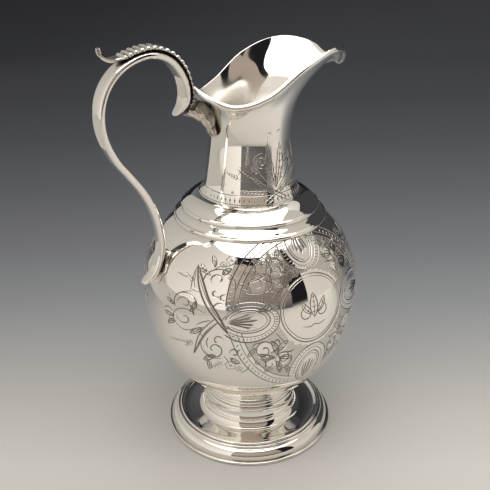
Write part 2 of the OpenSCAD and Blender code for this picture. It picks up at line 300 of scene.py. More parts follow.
# a darker, browner copy of the cast silver with stronger recess darkening: painted shade for the bracket in the
# corner under the rim
SHADED_CAST_SILVER = silver("cast_silver_painted_shade", (0.74, 0.69, 0.61), (0.40, 0.345, 0.285), 0.14, 2.6, 0.00002,
               grain=0.000016, reach=0.007)
CAST = silver("cast_silver", (0.92, 0.895, 0.85), (0.80, 0.77, 0.72), 0.075, 1.5, 0.000015, grain=0.000010)


# ------------------------------------------------------------------ the body

BODY_R, BODY_Z, BODY_UP, BODY_DOWN = 62.0, 95.2, 57.7, 74.4    # widest ring, and heights above and below it
FULL_UP, FULL_DOWN, WALL = 2.1, 1.93, 1.0                      # fullness of the outline, and the wall


def body_radius(z, t=0.0):
    z = np.asarray(z, float)
    up = np.clip((z - BODY_Z) / (BODY_UP - t), 0, 1)
    down = np.clip((BODY_Z - z) / (BODY_DOWN - t), 0, 1)
    return (BODY_R - t) * np.where(z >= BODY_Z, (1 - up ** FULL_UP) ** (1 / FULL_UP),
                                   (1 - down ** FULL_DOWN) ** (1 / FULL_DOWN))


def low_z(r, t=0.0):
    return BODY_Z - (BODY_DOWN - t) * (1 - (r / (BODY_R - t)) ** FULL_DOWN) ** (1 / FULL_DOWN)


def high_z(r, t=0.0):
    return BODY_Z + (BODY_UP - t) * (1 - (r / (BODY_R - t)) ** FULL_UP) ** (1 / FULL_UP)


# the engraved panel is drawn on a flat sheet, in millimetres from the middle of its cartouche,
# and wrapped round the body so that circles on the sheet stay round on the silver
PANEL_Z = 107.0
PANEL_LAT = math.asin((PANEL_Z - BODY_Z) / BODY_UP)
PANEL_C = np.array([0, -math.cos(PANEL_LAT), math.sin(PANEL_LAT)])
PANEL_X = np.array([1.0, 0, 0])
PANEL_Y = np.cross(PANEL_C, PANEL_X)


def wrap_body(x, y):
    x, y = np.asarray(x, float), np.asarray(y, float)
    th = np.hypot(x, y) / BODY_R
    ph = np.arctan2(y, x)
    s = (np.cos(th)[..., None] * PANEL_C + (np.cos(ph) * np.sin(th))[..., None] * PANEL_X
         + (np.sin(ph) * np.sin(th))[..., None] * PANEL_Y)
    z = BODY_Z + np.where(s[..., 2] >= 0, BODY_UP, BODY_DOWN) * s[..., 2]
    h = np.maximum(np.hypot(s[..., 0], s[..., 1]), 1e-9)
    r = body_radius(z)
    return np.stack([r * s[..., 0] / h, r * s[..., 1] / h, z], -1)


def unwrap_body(azimuth, z):
    """Sheet position of the body point at that azimuth in degrees and height."""
    a = math.radians(azimuth)
    sz = (z - BODY_Z) / (BODY_UP if z >= BODY_Z else BODY_DOWN)
    s = np.array([math.cos(a) * math.sqrt(1 - sz * sz), math.sin(a) * math.sqrt(1 - sz * sz), sz])
    th = math.acos(min(1, max(-1, s @ PANEL_C)))
    k = BODY_R * th / max(math.sin(th), 1e-9)
    return (k * (s @ PANEL_X), k * (s @ PANEL_Y))


def body_normal(P):
    P = np.asarray(P, float)
    r = np.hypot(P[..., 0], P[..., 1])
    up = P[..., 2] >= BODY_Z
    n = np.where(up, FULL_UP, FULL_DOWN)
    h = np.where(up, BODY_UP, BODY_DOWN)
    t = np.clip(np.abs(P[..., 2] - BODY_Z) / h, 0, 1)
    gr = np.clip(r / BODY_R, 0, 1) ** (n - 1) / BODY_R
    gz = np.where(up, 1, -1) * t ** (n - 1) / h
    d = np.maximum(r, 1e-9)
    return unit(np.stack([gr * P[..., 0] / d, gr * P[..., 1] / d, gz], -1))


# ------------------------------------------------------------------ engraving strokes
# a stroke is (points on the sheet, half widths); a motif is a list of strokes

def taper(n, w, start=0.25, end=0.25):
    u = np.linspace(0, 1, n)
    k = np.ones(n)
    if start > 0:
        k = np.minimum(k, np.sin(np.pi / 2 * np.clip(u / start, 0, 1)))
    if end > 0:
        k = np.minimum(k, np.sin(np.pi / 2 * np.clip((1 - u) / end, 0, 1)))
    return np.maximum(w * k, 0.045)


def line(points, w=0.26, start=0.25, end=0.25, step=1.15):
    P = np.array(through(points, step))
    return [(P, taper(len(P), w, start, end))]


def arc(cx, cy, r, a0, a1, w=0.26, start=0.0, end=0.0, ry=None, step=1.25):
    ry = r if ry is None else ry
    n = max(4, int(abs(math.radians(a1 - a0)) * max(r, ry) / step))
    a = np.radians(np.linspace(a0, a1, n + 1))
    P = np.stack([cx + r * np.cos(a), cy + ry * np.sin(a)], -1)
    return [(P, taper(len(P), w, start, end))]


def spiral(cx, cy, r0, r1, a0, a1, w=0.3, start=0.3, end=0.2):
    n = max(6, int(abs(math.radians(a1 - a0)) * (r0 + r1) / 2 / 0.9))
    u = np.linspace(0, 1, n + 1)
    a, r = np.radians(a0 + (a1 - a0) * u), r0 + (r1 - r0) * u
    P = np.stack([cx + r * np.cos(a), cy + r * np.sin(a)], -1)
    return [(P, taper(len(P), w, start, end))]


def dashes(cx, cy, r0, r1, a0, a1, pitch, w=0.3, ry0=None, ry1=None, lean=0.0):
    """Short cuts across a band between two rings."""
    ry0, ry1 = (r0 if ry0 is None else ry0), (r1 if ry1 is None else ry1)
    n = max(1, int(abs(math.radians(a1 - a0)) * (r0 + r1 + ry0 + ry1) / 4 / pitch))
    out = []
    for k in range(n + 1):
        a = math.radians(lerp(a0, a1, k / n))
        b = a + math.radians(lean)
        p = np.array([cx + r0 * math.cos(a), cy + ry0 * math.sin(a)])
        q = np.array([cx + r1 * math.cos(b), cy + ry1 * math.sin(b)])
        out.append((np.array([p, (p + q) / 2, q]), np.array([0.05, w, 0.06])))
    return out


def blade(base, tip, bend=0.0, width=2.0, veins=3, w=0.24):
    """A leaf: two bowed edges that meet at the tip, a midrib, and short veins."""
    b, t = np.array(base, float), np.array(tip, float)
    d = t - b
    n = np.array([-d[1], d[0]]) / max(np.linalg.norm(d), 1e-9)
    mid = (b + t) / 2 + n * bend
    left = [b, lerp(b, mid, 0.6) + n * width * 0.8, lerp(mid, t, 0.35) + n * width * 0.8, t]
    right = [b, lerp(b, mid, 0.6) - n * width * 0.8, lerp(mid, t, 0.35) - n * width * 0.8, t]
    out = line(left, w, 0.2, 0.15) + line(right, w * 1.25, 0.2, 0.15)
    out += line([b, mid, lerp(mid, t, 0.75)], w * 0.9, 0.1, 0.5)
    for k in range(veins):
        u = (k + 1) / (veins + 1)
        c = lerp(lerp(b, mid, u), lerp(mid, t, u), u)
        s = width * 0.62 * math.sin(math.pi * (0.15 + 0.75 * u))
        f = unit(d) * width * 0.55
        for side in (1, -1):
            q = side * n * s + f
            out.append((np.array([c, c + q * 0.6, c + q]), np.array([w * 0.8, w * 0.6, 0.05])))
    return out


def fern(base, tip, n=6, length=2.4, w=0.28):
    b, t = np.array(base, float), np.array(tip, float)
    d = unit(t - b)
    s = np.array([-d[1], d[0]])
    out = line([b, t], w * 0.7, 0.1, 0.4)
    for k in range(n):
        u = (k + 0.6) / n
        c, r = lerp(b, t, u), length * (1.1 - 0.75 * u)
        for side in (-1, 1):
            q = c + (s * side * 0.8 + d * 0.75) * r
            out.append((np.array([c, (c + q) / 2 + s * side * 0.15 * r, q]), np.array([0.07, w, 0.05])))
    return out


def mirrored(strokes, x=True, y=False):
    k = np.array([-1 if x else 1, -1 if y else 1])
    return [(P * k, w) for P, w in strokes]


def trimmed(strokes, keep):
    """Cuts the strokes back to where keep(points) is true."""
    out = []
    for P, w in strokes:
        ok = keep(P)
        i = 0
        while i < len(P):
            if not ok[i]:
                i += 1
                continue
            j = i
            while j + 1 < len(P) and ok[j + 1]:
                j += 1
            if j - i >= 1:
                out.append((P[i:j + 1], w[i:j + 1]))
            i = j + 1
    return out


DEEPEST, STEEP = 0.26, 0.62          # a groove's greatest depth, and its depth for each unit of half width


def flat_tree(points):
    """Search tree over points of the flat sheet."""
    tree = KDTree(len(points))
    for i, p in enumerate(points):
        tree.insert((p[0], p[1], 0), i)
    tree.balance()
    return tree


def engrave(border, strokes, place, normal, inside, grid=1.7):
    """Triangulates the sheet inside the border with a V-shaped groove along every stroke, and wraps it on."""
    pts, edges = [], []

    def add(p):
        pts.append((float(p[0]), float(p[1])))
        return len(pts) - 1

    ids = [add(p) for p in border]
    edges += [(ids[i], ids[(i + 1) % len(ids)]) for i in range(len(ids))]
    segs = []
    for P, w in strokes:
        d = np.gradient(P, axis=0)
        n = unit(np.stack([-d[:, 1], d[:, 0]], -1))
        rows = [[add(q) for q in P + n * w[:, None] * side] for side in (1, 0, -1)]
        for row in rows:
            edges += list(zip(row[:-1], row[1:]))
        for k in (0, -1):
            edges += [(rows[0][k], rows[1][k]), (rows[1][k], rows[2][k])]
        segs += [(P[i], P[i + 1], w[i], w[i + 1]) for i in range(len(P) - 1)]
    taken = flat_tree(pts)
    B = np.array(border)
    lo, hi = B.min(0), B.max(0)
    for j, y in enumerate(np.arange(lo[1], hi[1], grid * 0.87)):
        xs = np.arange(lo[0] + (j % 2) * grid / 2, hi[0], grid)
        good = inside(np.stack([xs, np.full(len(xs), y)], -1), 0.8)
        for x in xs[good]:
            if taken.find((x, y, 0))[2] > grid * 0.42:
                add((x, y))
    verts, _, tris, _, _, _ = delaunay_2d_cdt([Vector(p) for p in pts], edges, [], 1, 1e-5, False)
    V = np.array([tuple(v) for v in verts])
    T = np.array([t for t in tris if len(t) == 3])
    cen = V[T].mean(1)
    T = T[inside(cen, 0.0)]
    area = np.cross(V[T[:, 1]] - V[T[:, 0]], V[T[:, 2]] - V[T[:, 0]])
    T[area < 0] = T[area < 0][:, ::-1]
    T = T[np.abs(area) > 1e-9]
    depth, cut = np.zeros(len(V)), np.zeros(len(V))
    tree = flat_tree(V)
    for p, q, w0, w1 in segs:
        m = (p + q) / 2
        reach = np.linalg.norm(q - p) / 2 + max(w0, w1) + 0.01
        near = [i for _, i, _ in tree.find_range((m[0], m[1], 0), reach)]
        if not near:
            continue
        X = V[near]
        d = q - p
        u = np.clip(((X - p) @ d) / max(d @ d, 1e-12), 0, 1)
        w = w0 + (w1 - w0) * u
        k = np.clip(1 - np.linalg.norm(X - p - u[:, None] * d, axis=1) / w, 0, 1)
        k[k < 0.02] = 0
        depth[near] = np.maximum(depth[near], k * np.minimum(DEEPEST, STEEP * w))
        cut[near] = np.maximum(cut[near], k * np.clip(w / 0.2, 0.3, 1))
    S = place(V[:, 0], V[:, 1])
    N = normal(S)
    used = np.unique(T)
    remap = -np.ones(len(V), int)
    remap[used] = np.arange(len(used))
    return V[used], (S - N * depth[:, None])[used], N[used], remap[T], depth[used], cut[used]


def corner_normals(verts, faces, smooth_n, depth):
    """Surface normals on the untouched silver and flat ones on the walls of the cuts, one per face corner."""
    P = verts[faces]
    flat = unit(np.cross(P[:, 1] - P[:, 0], P[:, 2] - P[:, 0]))
    wall = depth[faces].max(1) > 0.004
    out = smooth_n[faces].copy()
    out[wall] = flat[wall][:, None, :]
    return out.reshape(-1, 3)




# ------------------------------------------------------------------ motifs on the body panel

def cartouche():
    """Plain round shield with a double line, and a small generic sprig in its middle."""
    s = arc(0, -0.5, 19.4, 0, 360, 0.36) + arc(0, -0.5, 17.9, 0, 360, 0.2)
    sprig = spiral(-4.6, -3.2, 4.6, 1.1, 60, 470, 0.3) + spiral(4.6, -3.2, 4.6, 1.1, 120, -290, 0.3)
    sprig += blade((0, -6.5), (0, 8.5), 0, 2.6, 4, 0.26)
    sprig += blade((-1.2, -4), (-7.2, 4.8), 1.2, 1.7, 2, 0.22) + blade((1.2, -4), (7.2, 4.8), -1.2, 1.7, 2, 0.22)
    sprig += line([(-8, -10.2), (-3, -11.6), (0, -10.6), (3, -11.6), (8, -10.2)], 0.26)
    return s + sprig


def side_lobe():
    """The oval on the left: a pointed leaf in a double line, with a dashed border round it."""
    s = arc(-36.5, -1, 11.5, -158, 158, 0.34, ry=7.6) + arc(-36.5, -1, 9.9, -150, 150, 0.2, ry=6.2)
    s += line([(-50.5, -1), (-48.5, 2.2), (-46.4, 3.4)], 0.3, 0.3, 0.1)
    s += line([(-50.5, -1), (-48.5, -4.2), (-46.4, -5.4)], 0.3, 0.3, 0.1)
    for y, u, w in ((0.2, 0.0, 0.62), (2.6, 0.9, 0.55), (4.2, 1.7, 0.4), (-2.6, -0.9, 0.6), (-4.6, -1.8, 0.45)):
        s += line([(-46.5, -1 + u * 0.4), (-40, -1 + u * 1.6), (-31 - abs(y), -1 + y * 1.05)], w, 0.5, 0.2)
    for y in (1.2, -1.6, 3.4, -3.8):
        s += line([(-45, -1 + y * 0.3), (-38, -1 + y * 0.9), (-34, -1 + y * 1.1)], 0.22, 0.3, 0.3)
    s += arc(-36, -1.5, 13.3, -142, 142, 0.2, ry=9.7) + arc(-36.3, -1.7, 16.2, -138, 128, 0.32, ry=12.4)
    s += dashes(-36.2, -1.6, 13.8, 15.7, -135, 125, 1.75, 0.3, ry0=10.2, ry1=11.9)
    return s


def end_lobe():
    """The oval at the foot of the medallion; the one at the top is its mirror image."""
    s = arc(0.5, -36.5, 7.4, 0, 360, 0.34, ry=10.6) + arc(0.5, -36.5, 6.2, 0, 360, 0.2, ry=9.2)
    for x, w in ((0, 0.6), (2.3, 0.5), (-2.3, 0.5), (4.1, 0.36), (-4.1, 0.36)):
        s += line([(0.5 + x * 0.15, -45), (0.5 + x * 0.8, -38), (0.5 + x, -30.5 - abs(x) * 0.5)], w, 0.5, 0.2)
    s += arc(0.5, -36, 9.4, -12, 192, 0.2, ry=12.0) + arc(0.5, -36, 12.4, -14, 194, 0.32, ry=14.4)
    s += dashes(0.5, -36, 9.9, 11.9, -8, 188, 1.8, 0.3, ry0=12.5, ry1=13.9)
    return s


def band():
    """The circle round the medallion, open where the lobes cross it."""
    s = []
    for a0, a1 in ((101, 167), (191, 257), (-79, -13), (13, 79)):
        s += arc(0, -0.5, 47.4, a0, a1, 0.32) + arc(0, -0.5, 43.6, a0, a1, 0.22) + arc(0, -0.5, 41.2, a0, a1, 0.3)
        s += dashes(0, -0.5, 44.5, 46.6, a0 + 1, a1 - 1, 2.7, 0.36, lean=1.2)
    return s


def spandrel():
    """Scroll flower between the lobes, lower left; the other three mirror it."""
    s = spiral(-28.6, -19.6, 5.4, 1.0, 40, 520, 0.34)
    s += line([(-24.6, -16.2), (-21.5, -14.4), (-20.2, -17.6), (-22.6, -20.2), (-26, -21.6)], 0.36)
    s += line([(-34.6, -15.4), (-28, -14.6), (-24.4, -16.4)], 0.3)
    s += spiral(-17.6, -25.6, 4.6, 0.9, 200, -250, 0.34)
    s += spiral(-24.6, -28.4, 3.4, 0.8, 60, 420, 0.3)
    s += line([(-13.4, -24.2), (-12.6, -27.6), (-14.6, -31.4), (-18.4, -32.4)], 0.36)
    s += line([(-20.8, -22.4), (-19.4, -27.6), (-20.4, -33.6)], 0.44)
    s += line([(-17.2, -21.6), (-13.4, -22.4), (-11.6, -20.8)], 0.3)
    s += line([(-30.6, -24.2), (-27.4, -26.8), (-27.2, -31.2)], 0.34)
    s += blade((-21.4, -20.8), (-15.6, -15.8), 0.6, 1.5, 2, 0.24)
    s += blade((-33.4, -17.2), (-37.4, -22.6), 0.6, 1.4, 1, 0.24)
    s += blade((-22.6, -31.2), (-27.6, -33.8), -0.5, 1.3, 1, 0.22)
    s += blade((-15.4, -30.6), (-12.8, -36.8), 0.5, 1.3, 1, 0.22)
    s += line([(-22.6, -10.6), (-20.4, -13.4), (-17.8, -16.4)], 0.26)
    s += blade((-22.4, -24.4), (-31.4, -21.4), 1.2, 1.6, 2, 0.32)
    s += blade((-21, -23.4), (-25.4, -14.4), -1, 1.5, 2, 0.3)
    s += blade((-20.4, -25), (-12.6, -26.6), 1, 1.4, 2, 0.3)
    s += blade((-21.4, -26.6), (-17.8, -35.8), 0.9, 1.4, 2, 0.3)
    s += spiral(-31.6, -26.4, 1.9, 0.6, 90, 400, 0.28) + spiral(-13.4, -34.6, 1.8, 0.6, 0, 300, 0.28)
    for c in np.array(ellipse(0, -0.5, 39, 39, range(205, 260, 18))):
        s += line([c, c * 0.955 + (0.6, 0.9)], 0.3, 0.1, 0.6)
    return s


def spray():
    """Crossed ribbons with scrolls, ferns and a small flower, on the left of the medallion."""
    s = line([(-56, 37.2), (-58.6, 24), (-57.4, 12), (-53.4, 2), (-47, -9.4)], 0.5, 0.15, 0.12)
    s += line([(-56, 37.2), (-55.6, 26), (-54.6, 14), (-51.2, 4), (-47, -9.4)], 0.62, 0.15, 0.12)
    s += line([(-57.2, 31), (-56.4, 18), (-53.4, 6), (-49.6, -2)], 0.2)
    s += line([(-56.4, 36), (-60.4, 30), (-63.6, 22.4), (-64.4, 20)], 0.24)
    s += line([(-60.4, 20.4), (-61, 25), (-58, 33)], 0.2)
    s += line([(-52.6, 2), (-58.6, -3.6), (-64.6, -12), (-68.4, -24)], 0.42, 0.15, 0.1)
    s += line([(-51.6, -0.6), (-56.4, -5.4), (-62.4, -13), (-68.4, -24)], 0.6, 0.15, 0.1)
    s += line([(-55, -2.4), (-61, -9.8), (-66, -18)], 0.2)
    # scrolls over and under the crossing
    s += arc(-46.8, 22.6, 9.3, 20, 172, 0.34, 0.2, 0.2) + spiral(-47.2, 25.6, 4.2, 1.2, 200, -80, 0.44)
    s += arc(-46.4, 22.4, 7.6, -70, 60, 0.24, 0.3, 0.3)
    s += spiral(-50, 17.8, 3.2, 1.0, 330, 80, 0.42) + spiral(-46.6, 13.8, 3.0, 0.8, 30, 290, 0.42)
    s += line([(-53.6, 8.8), (-50.4, 11.4), (-47.2, 10.2)], 0.44)
    s += spiral(-55.4, -18.6, 6.4, 1.3, 160, 600, 0.38) + arc(-55.2, -16.6, 8.0, 150, 300, 0.32, 0.3, 0.2)
    s += spiral(-53.2, -13.2, 3.4, 1.0, 20, 250, 0.4) + line([(-58.2, -11), (-59.8, -14.6), (-59, -18)], 0.36)
    s += arc(-58.6, -8.4, 4.2, 80, 240, 0.24, 0.3, 0.3)
    # pair of open scrolls towards the handle
    s += arc(-69.4, 11.8, 7.4, -30, 210, 0.34, 0.15, 0.2) + spiral(-69.8, 11.8, 5.2, 1.2, 190, -140, 0.4)
    s += line([(-63, 8.2), (-60.2, 6), (-57.6, 4.8)], 0.34) + line([(-76.2, 8.4), (-79.4, 12.6), (-80, 20)], 0.36)
    s += arc(-71.6, -0.4, 8.0, 30, 330, 0.34, 0.15, 0.2) + spiral(-71.8, 0.6, 5.4, 1.2, 150, 480, 0.42)
    s += line([(-65, 3), (-65.4, 7.4), (-66.4, 11)], 0.5) + line([(-64.8, -3.6), (-60.4, -1), (-55.6, 0.4)], 0.36)
    s += line([(-79.4, -1), (-82.4, -2.4), (-84, -1)], 0.36) + line([(-79.2, 4.2), (-82.4, 7.4), (-86.6, 6)], 0.4)
    s += line([(-64, 21.6), (-60, 19.4), (-57.4, 19.6)], 0.24) + line([(-63, 20), (-69.6, 19.6), (-75, 17.2)], 0.2)
    # full leaves between the scrolls
    s += blade((-78.6, 0.8), (-86.6, 3.6), 1, 1.7, 2, 0.4) + blade((-78.2, -3.2), (-85.2, -6.6), -1, 1.6, 2, 0.4)
    s += blade((-76.2, 10.4), (-82.6, 15), 0.9, 1.4, 1, 0.36) + spiral(-64.4, 9.6, 2.6, 0.7, 100, -200, 0.42)
    s += blade((-61.4, -5), (-69.6, -10), 0.8, 1.5, 2, 0.36)
    s += blade((-54.8, -22.4), (-62.4, -27.6), -0.8, 1.6, 2, 0.36)
    s += spiral(-44.4, -20.2, 3.0, 0.8, 200, -160, 0.4) + blade((-46.8, -23.2), (-41, -27), -0.6, 1.3, 1, 0.3)
    s += blade((-44.4, 28), (-38.4, 31.2), 0.6, 1.4, 1, 0.34) + spiral(-41.4, 26, 2.8, 0.7, 160, -160, 0.38)
    s += blade((-50.6, 28.6), (-57, 34.6), -0.8, 1.2, 1, 0.3) + blade((-62, 13.4), (-67.4, 5.6), 0.7, 1.3, 2, 0.36)
    # ferns, flowers and leaf tips
    s += fern((-61, 25.6), (-64.4, 32.6), 5, 2.0) + fern((-63.6, 29.6), (-70.4, 33.4), 5, 1.7)
    s += fern((-68, -14.4), (-73.6, -19.6), 5, 2.4) + fern((-70.4, -16), (-86, -17.6), 8, 1.8)
    s += fern((-51, -26.4), (-59.4, -33.4), 5, 2.4) + blade((-47.4, 33), (-46, 41.4), -0.6, 1.2, 1, 0.26)
    s += blade((-59.6, -26.4), (-58.8, -34), 0.6, 1.4, 1, 0.3)
    s += blade((-52.6, 30.8), (-53.6, 37.6), 0.4, 1.1, 1, 0.24)
    for cx, cy, r in ((-46.6, -28.6, 3.1), (-41.8, -30.8, 1.9), (-37.2, 35.6, 3.0), (-42.2, 34, 1.9)):
        for a in range(0, 360, 72):
            (x, y), = ellipse(cx, cy, r * 0.55, r * 0.55, [a + 20])
            s += arc(x, y, r * 0.42, a - 80, a + 120, 0.2, 0.3, 0.3, step=0.7)
        s += arc(cx, cy, r * 0.2, 0, 360, 0.2, step=0.5)
    s += line([(-50.6, -22), (-48.4, -25), (-47.6, -27.6)], 0.28)
    s += line([(-41, -34), (-37, -31), (-36.4, -28.4)], 0.3)
    s += line([(-49, 31.4), (-44, 33.4), (-39, 32.8), (-34.6, 35)], 0.26)
    return s


def panel_strokes():
    quarter = spandrel()
    s = cartouche() + band() + end_lobe() + mirrored(end_lobe(), x=False, y=True)
    s += side_lobe() + mirrored(side_lobe()) + spray() + mirrored(spray())
    s += quarter + mirrored(quarter) + mirrored(quarter, x=False, y=True) + mirrored(quarter, y=True)
    return s


def ellipse_in(P, cx, cy, rx, ry):
    return ((P[:, 0] - cx) / rx) ** 2 + ((P[:, 1] - cy) / ry) ** 2 < 1


def matted(P):
    """1 where the ground between the scrolls is pricked dull."""
    x, y = P[:, 0], P[:, 1]
    r = np.hypot(x, y + 0.5)
    m = (r < 40.8) & (r > 21.2)
    for s in (-1, 1):
        m &= ~ellipse_in(P, s * 36.3, -1.7, 16.4, 12.6) & ~ellipse_in(P, 0.5, s * 36, 12.6, 14.6)
    for sx in (-1, 1):
        for sy in (-1, 1):
            for cx, cy, q in ((-28.6, -19.6, 4.6), (-17.6, -25.8, 4.0), (-24.6, -28.4, 2.8), (-18.6, -18.2, 2.4)):
                m &= ~ellipse_in(P, -sx * cx, -sy * cy, q, q)
    return m.astype(float)


class Skin:
    """Collects the sheets of one thin piece, with a normal and the engraving's marks at each point."""

    def __init__(self):
        self.parts, self.count = [], 0

    def add(self, verts, norms, faces, depth=None, cut=None, mat=None):
        marks = [np.zeros(len(verts)) if v is None else v for v in (depth, cut)]
        mat = np.zeros(len(faces)) if mat is None else mat
        self.parts.append((verts, norms, faces + self.count, *marks, mat))
        self.count += len(verts)

    def both_sides(self, verts, norms, faces, depth, cut, mat=None):
        """The engraved front and its mirror image at the back."""
        flip = np.array([1, -1, 1])
        self.add(verts, norms, faces, depth, cut, mat)
        self.add(verts * flip, norms * flip, faces[:, ::-1], depth, cut, mat)

    def rings(self, P, N):
        """Triangles between the rows of points that go round the piece, turned to face along N."""
        rows, cols = P.shape[:2]
        i, j = np.meshgrid(np.arange(rows - 1), np.arange(cols), indexing="ij")
        a, b = i * cols + j, i * cols + (j + 1) % cols
        c, d = a + cols, b + cols
        tri = np.concatenate([np.stack([a, b, d], -1).reshape(-1, 3), np.stack([a, d, c], -1).reshape(-1, 3)])
        P, N = P.reshape(-1, 3), N.reshape(-1, 3)
        Q = P[tri]
        if (np.cross(Q[:, 1] - Q[:, 0], Q[:, 2] - Q[:, 0]) * N[tri].mean(1)).sum() < 0:
            tri = tri[:, ::-1]
        self.add(P, N, tri)

    def weld(self):
        """Joins points that coincide, so that the sheets become one mesh."""
        verts, norms, faces, depths, cuts, mats = [np.concatenate(p) for p in zip(*self.parts)]
        key = np.round(verts / 0.004).astype(np.int64)
        _, first, back = np.unique(key, axis=0, return_index=True, return_inverse=True)
        back = back.reshape(-1)
        faces = back[faces]
        good = (faces[:, 0] != faces[:, 1]) & (faces[:, 1] != faces[:, 2]) & (faces[:, 0] != faces[:, 2])
        depth, cut = np.zeros(len(first)), np.zeros(len(first))
        np.maximum.at(depth, back, depths)
        np.maximum.at(cut, back, cuts)
        return verts[first], norms[first], faces[good], depth, cut, mats[good]


HALF = 96            # faces round half of the body and neck
BODY_BOLD = 1.18     # the cuts on the body are this much wider than drawn


def build_body():
    z0, z1 = 40.0, high_z(41.4)      # the engraved sheet's lower and upper edge
    border = [unwrap_body(lerp(180, 360, k / HALF), z0) for k in range(HALF)]
    side = np.linspace(z0, z1, 56)
    border += [unwrap_body(360, z) for z in side[:-1]]
    border += [unwrap_body(lerp(360, 180, k / HALF), z1) for k in range(HALF)]
    border += [unwrap_body(180, z) for z in side[:0:-1]]

    def inside(Q, margin):
        S = wrap_body(Q[:, 0], Q[:, 1])
        return ((S[:, 2] > z0 + margin) & (S[:, 2] < z1 - margin * 0.7) & (S[:, 1] < -margin + 1e-6)
                & (np.hypot(Q[:, 0], Q[:, 1]) < 178))

    strokes = trimmed([(p, w * BODY_BOLD) for p, w in panel_strokes()], lambda Q: inside(Q, 1.0))
    flat, V, N, T, depth, cut = engrave(border, strokes, wrap_body, body_normal, inside)
    skin = Skin()
    skin.both_sides(V, N, T, depth, cut, matted(flat[T].mean(1)))

    def turned(outline, sign):
        a = np.arange(2 * HALF) * math.pi / HALF
        P = np.array([np.stack([r * np.cos(a), r * np.sin(a), np.full(len(a), z)], -1) for r, z in outline])
        skin.rings(P, body_normal(P) * sign)

    def meridian(angles, t=0.0):
        """Outline points of the outside, or of the inside when t is the wall, by angle from the widest ring."""
        out = []
        for a in angles:
            z = BODY_Z + ((BODY_DOWN if a < 0 else BODY_UP) - t) * math.sin(a)
            out.append((float(body_radius(z, t)), float(z)))
        return out

    quarter = math.pi / 2
    low = math.asin((z0 - BODY_Z) / BODY_DOWN)
    turned([(0.0, BODY_Z - BODY_DOWN)] + meridian(np.linspace(-quarter, low, 26)[1:]), 1)
    top = math.asin((high_z(40.6, WALL) - BODY_Z) / (BODY_UP - WALL))
    inner = [(0.0, BODY_Z - BODY_DOWN + WALL)] + meridian(np.linspace(-quarter, 0, 40)[1:], WALL)
    inner += meridian(np.linspace(0, top, 26)[1:], WALL)
    turned(inner, -1)
    turned([(float(body_radius(z1)), float(z1)), inner[-1]], 1)
    v, n, f, depth, cut, mat = skin.weld()
    make_piece("bowl", "body_bowl", "polished_silver", ENGRAVED, v, f, closed=False,
               normals=corner_normals(v, f, n, depth), marks={"cut": ("POINT", cut), "mat": ("FACE", mat)})


build_body()


# ------------------------------------------------------------------ shoulder steps and foot

def build_turned():
    r, z = 42.7, 138.6
    lower = [(r - 0.6, z)] + curl(r - 1.2, z + 1.2, 1.2, -55, 80, 16)
    lower += through([(r - 1.0, z + 2.42), (r - 1.5, z + 2.6), (r - 2.8, z + 3.9), (r - 4, z + 5),
                      (r - 4.9, z + 6)], 0.4)[1:]
    lower += [(r - 6.4, z + 6)] + through([(r - 5.4, z + 4.8), (r - 4, z + 3.6), (r - 2.9, z + 2.4)], 0.5)
    lower += [(q, high_z(q)) for q in (r - 2.2, r - 1.4)]
    make_piece("step_lower", "shoulder_lower_step", "polished_silver", POLISHED, *lathe(lower))

    r, z = 38.5, 144.6
    upper = [(r - 2.2, z), (r - 0.6, z)] + curl(r - 1.2, z + 1.2, 1.2, -55, 75, 14)
    upper += [(lerp(r - 1.2, 28.3, u), lerp(z + 2.7, 153, u) + math.sin(math.pi * u))
              for u in np.linspace(0, 1, 22)]
    upper += [(27.3, 153)]
    upper += [(lerp(r - 2.2, 27.3, u), lerp(z + 1.5, 152, u) + 0.9 * math.sin(math.pi * u))
              for u in np.linspace(1, 0, 16)]
    make_piece("step_upper", "shoulder_upper_step", "polished_silver", POLISHED, *lathe(upper))

    w = 26.4
    ogee = [(w, 20.1), (w + 0.08, 19.2), (w + 0.2, 18), (w + 0.5, 16.6), (w + 0.9, 15.4)]
    ogee += ellipse(w + 6.2, 15, -5, -6.2, range(0, 91, 5))
    ogee += through([(32.6, 8.8), (35.5, 8.5), (38.5, 8.4), (41, 8.7)], 0.6)[1:]
    ogee += curl(42.9, 9.3, 1.05, 165, -20, 16) + curl(44.8, 8.5, 0.85, 110, -15, 12)
    ogee += ellipse(44.9, 2, 4.6, 5.9, range(76, 3, -4)) + [(49.5, 1.9), (48.4, 1.9)]
    ogee += ellipse(44.7, 1.4, 3.7, 5, range(10, 71, 6))
    ogee += [(44.5, 7), (43, 7.7), (41, 7.5), (38.5, 7.3), (35.5, 7.4), (32.4, 7.8)]
    ogee += ellipse(w + 6.2, 15, -6, -7.1, range(80, 9, -6))
    ogee += [(w - 0.1, 15.2), (w - 0.8, 18), (w - 1, 20.1)]
    make_piece("foot_spun", "foot", "polished_silver", POLISHED, *lathe(ogee), sharp=38)

    wire = [(47.2, 0), (50.8, 0)] + curl(50.6, 0.6, 0.6, -60, 0, 6)
    wire += curl(50.4, 1.1, 0.8, 0, 90, 10) + [(47.2, 1.9)]
    make_piece("foot_wire", "foot_base_wire", "polished_silver", POLISHED, *lathe(wire))

    beads = [(24.4, 20.1), (w + 0.2, 20.1)]
    beads += curl(26.3, 21.65, 1.5, -75, 75, 18) + curl(26.2, 24.1, 1.05, -60, 60, 14)
    beads += curl(26.1, 26.05, 1.0, -60, 60, 14)
    beads += [(26.5, 27.2), (26.9, 28), (27.2, low_z(27.2))]
    beads += [(q, low_z(q)) for q in (26.6, 26, 25.4, 24.8, 24.4)]
    make_piece("collar", "foot_collar", "polished_silver", POLISHED, *lathe(beads))


build_turned()


# ------------------------------------------------------------------ neck and spout

NECK_Z, NECK_BASE, NECK_R, NECK_TAPER, FLARE_Z = 153.0, 28.3, 22.0, 0.14, 186.0
SPOUT, BACK, MOUTH_W, LIP_IN = 60.0, 35.0, 28.3, 8.0
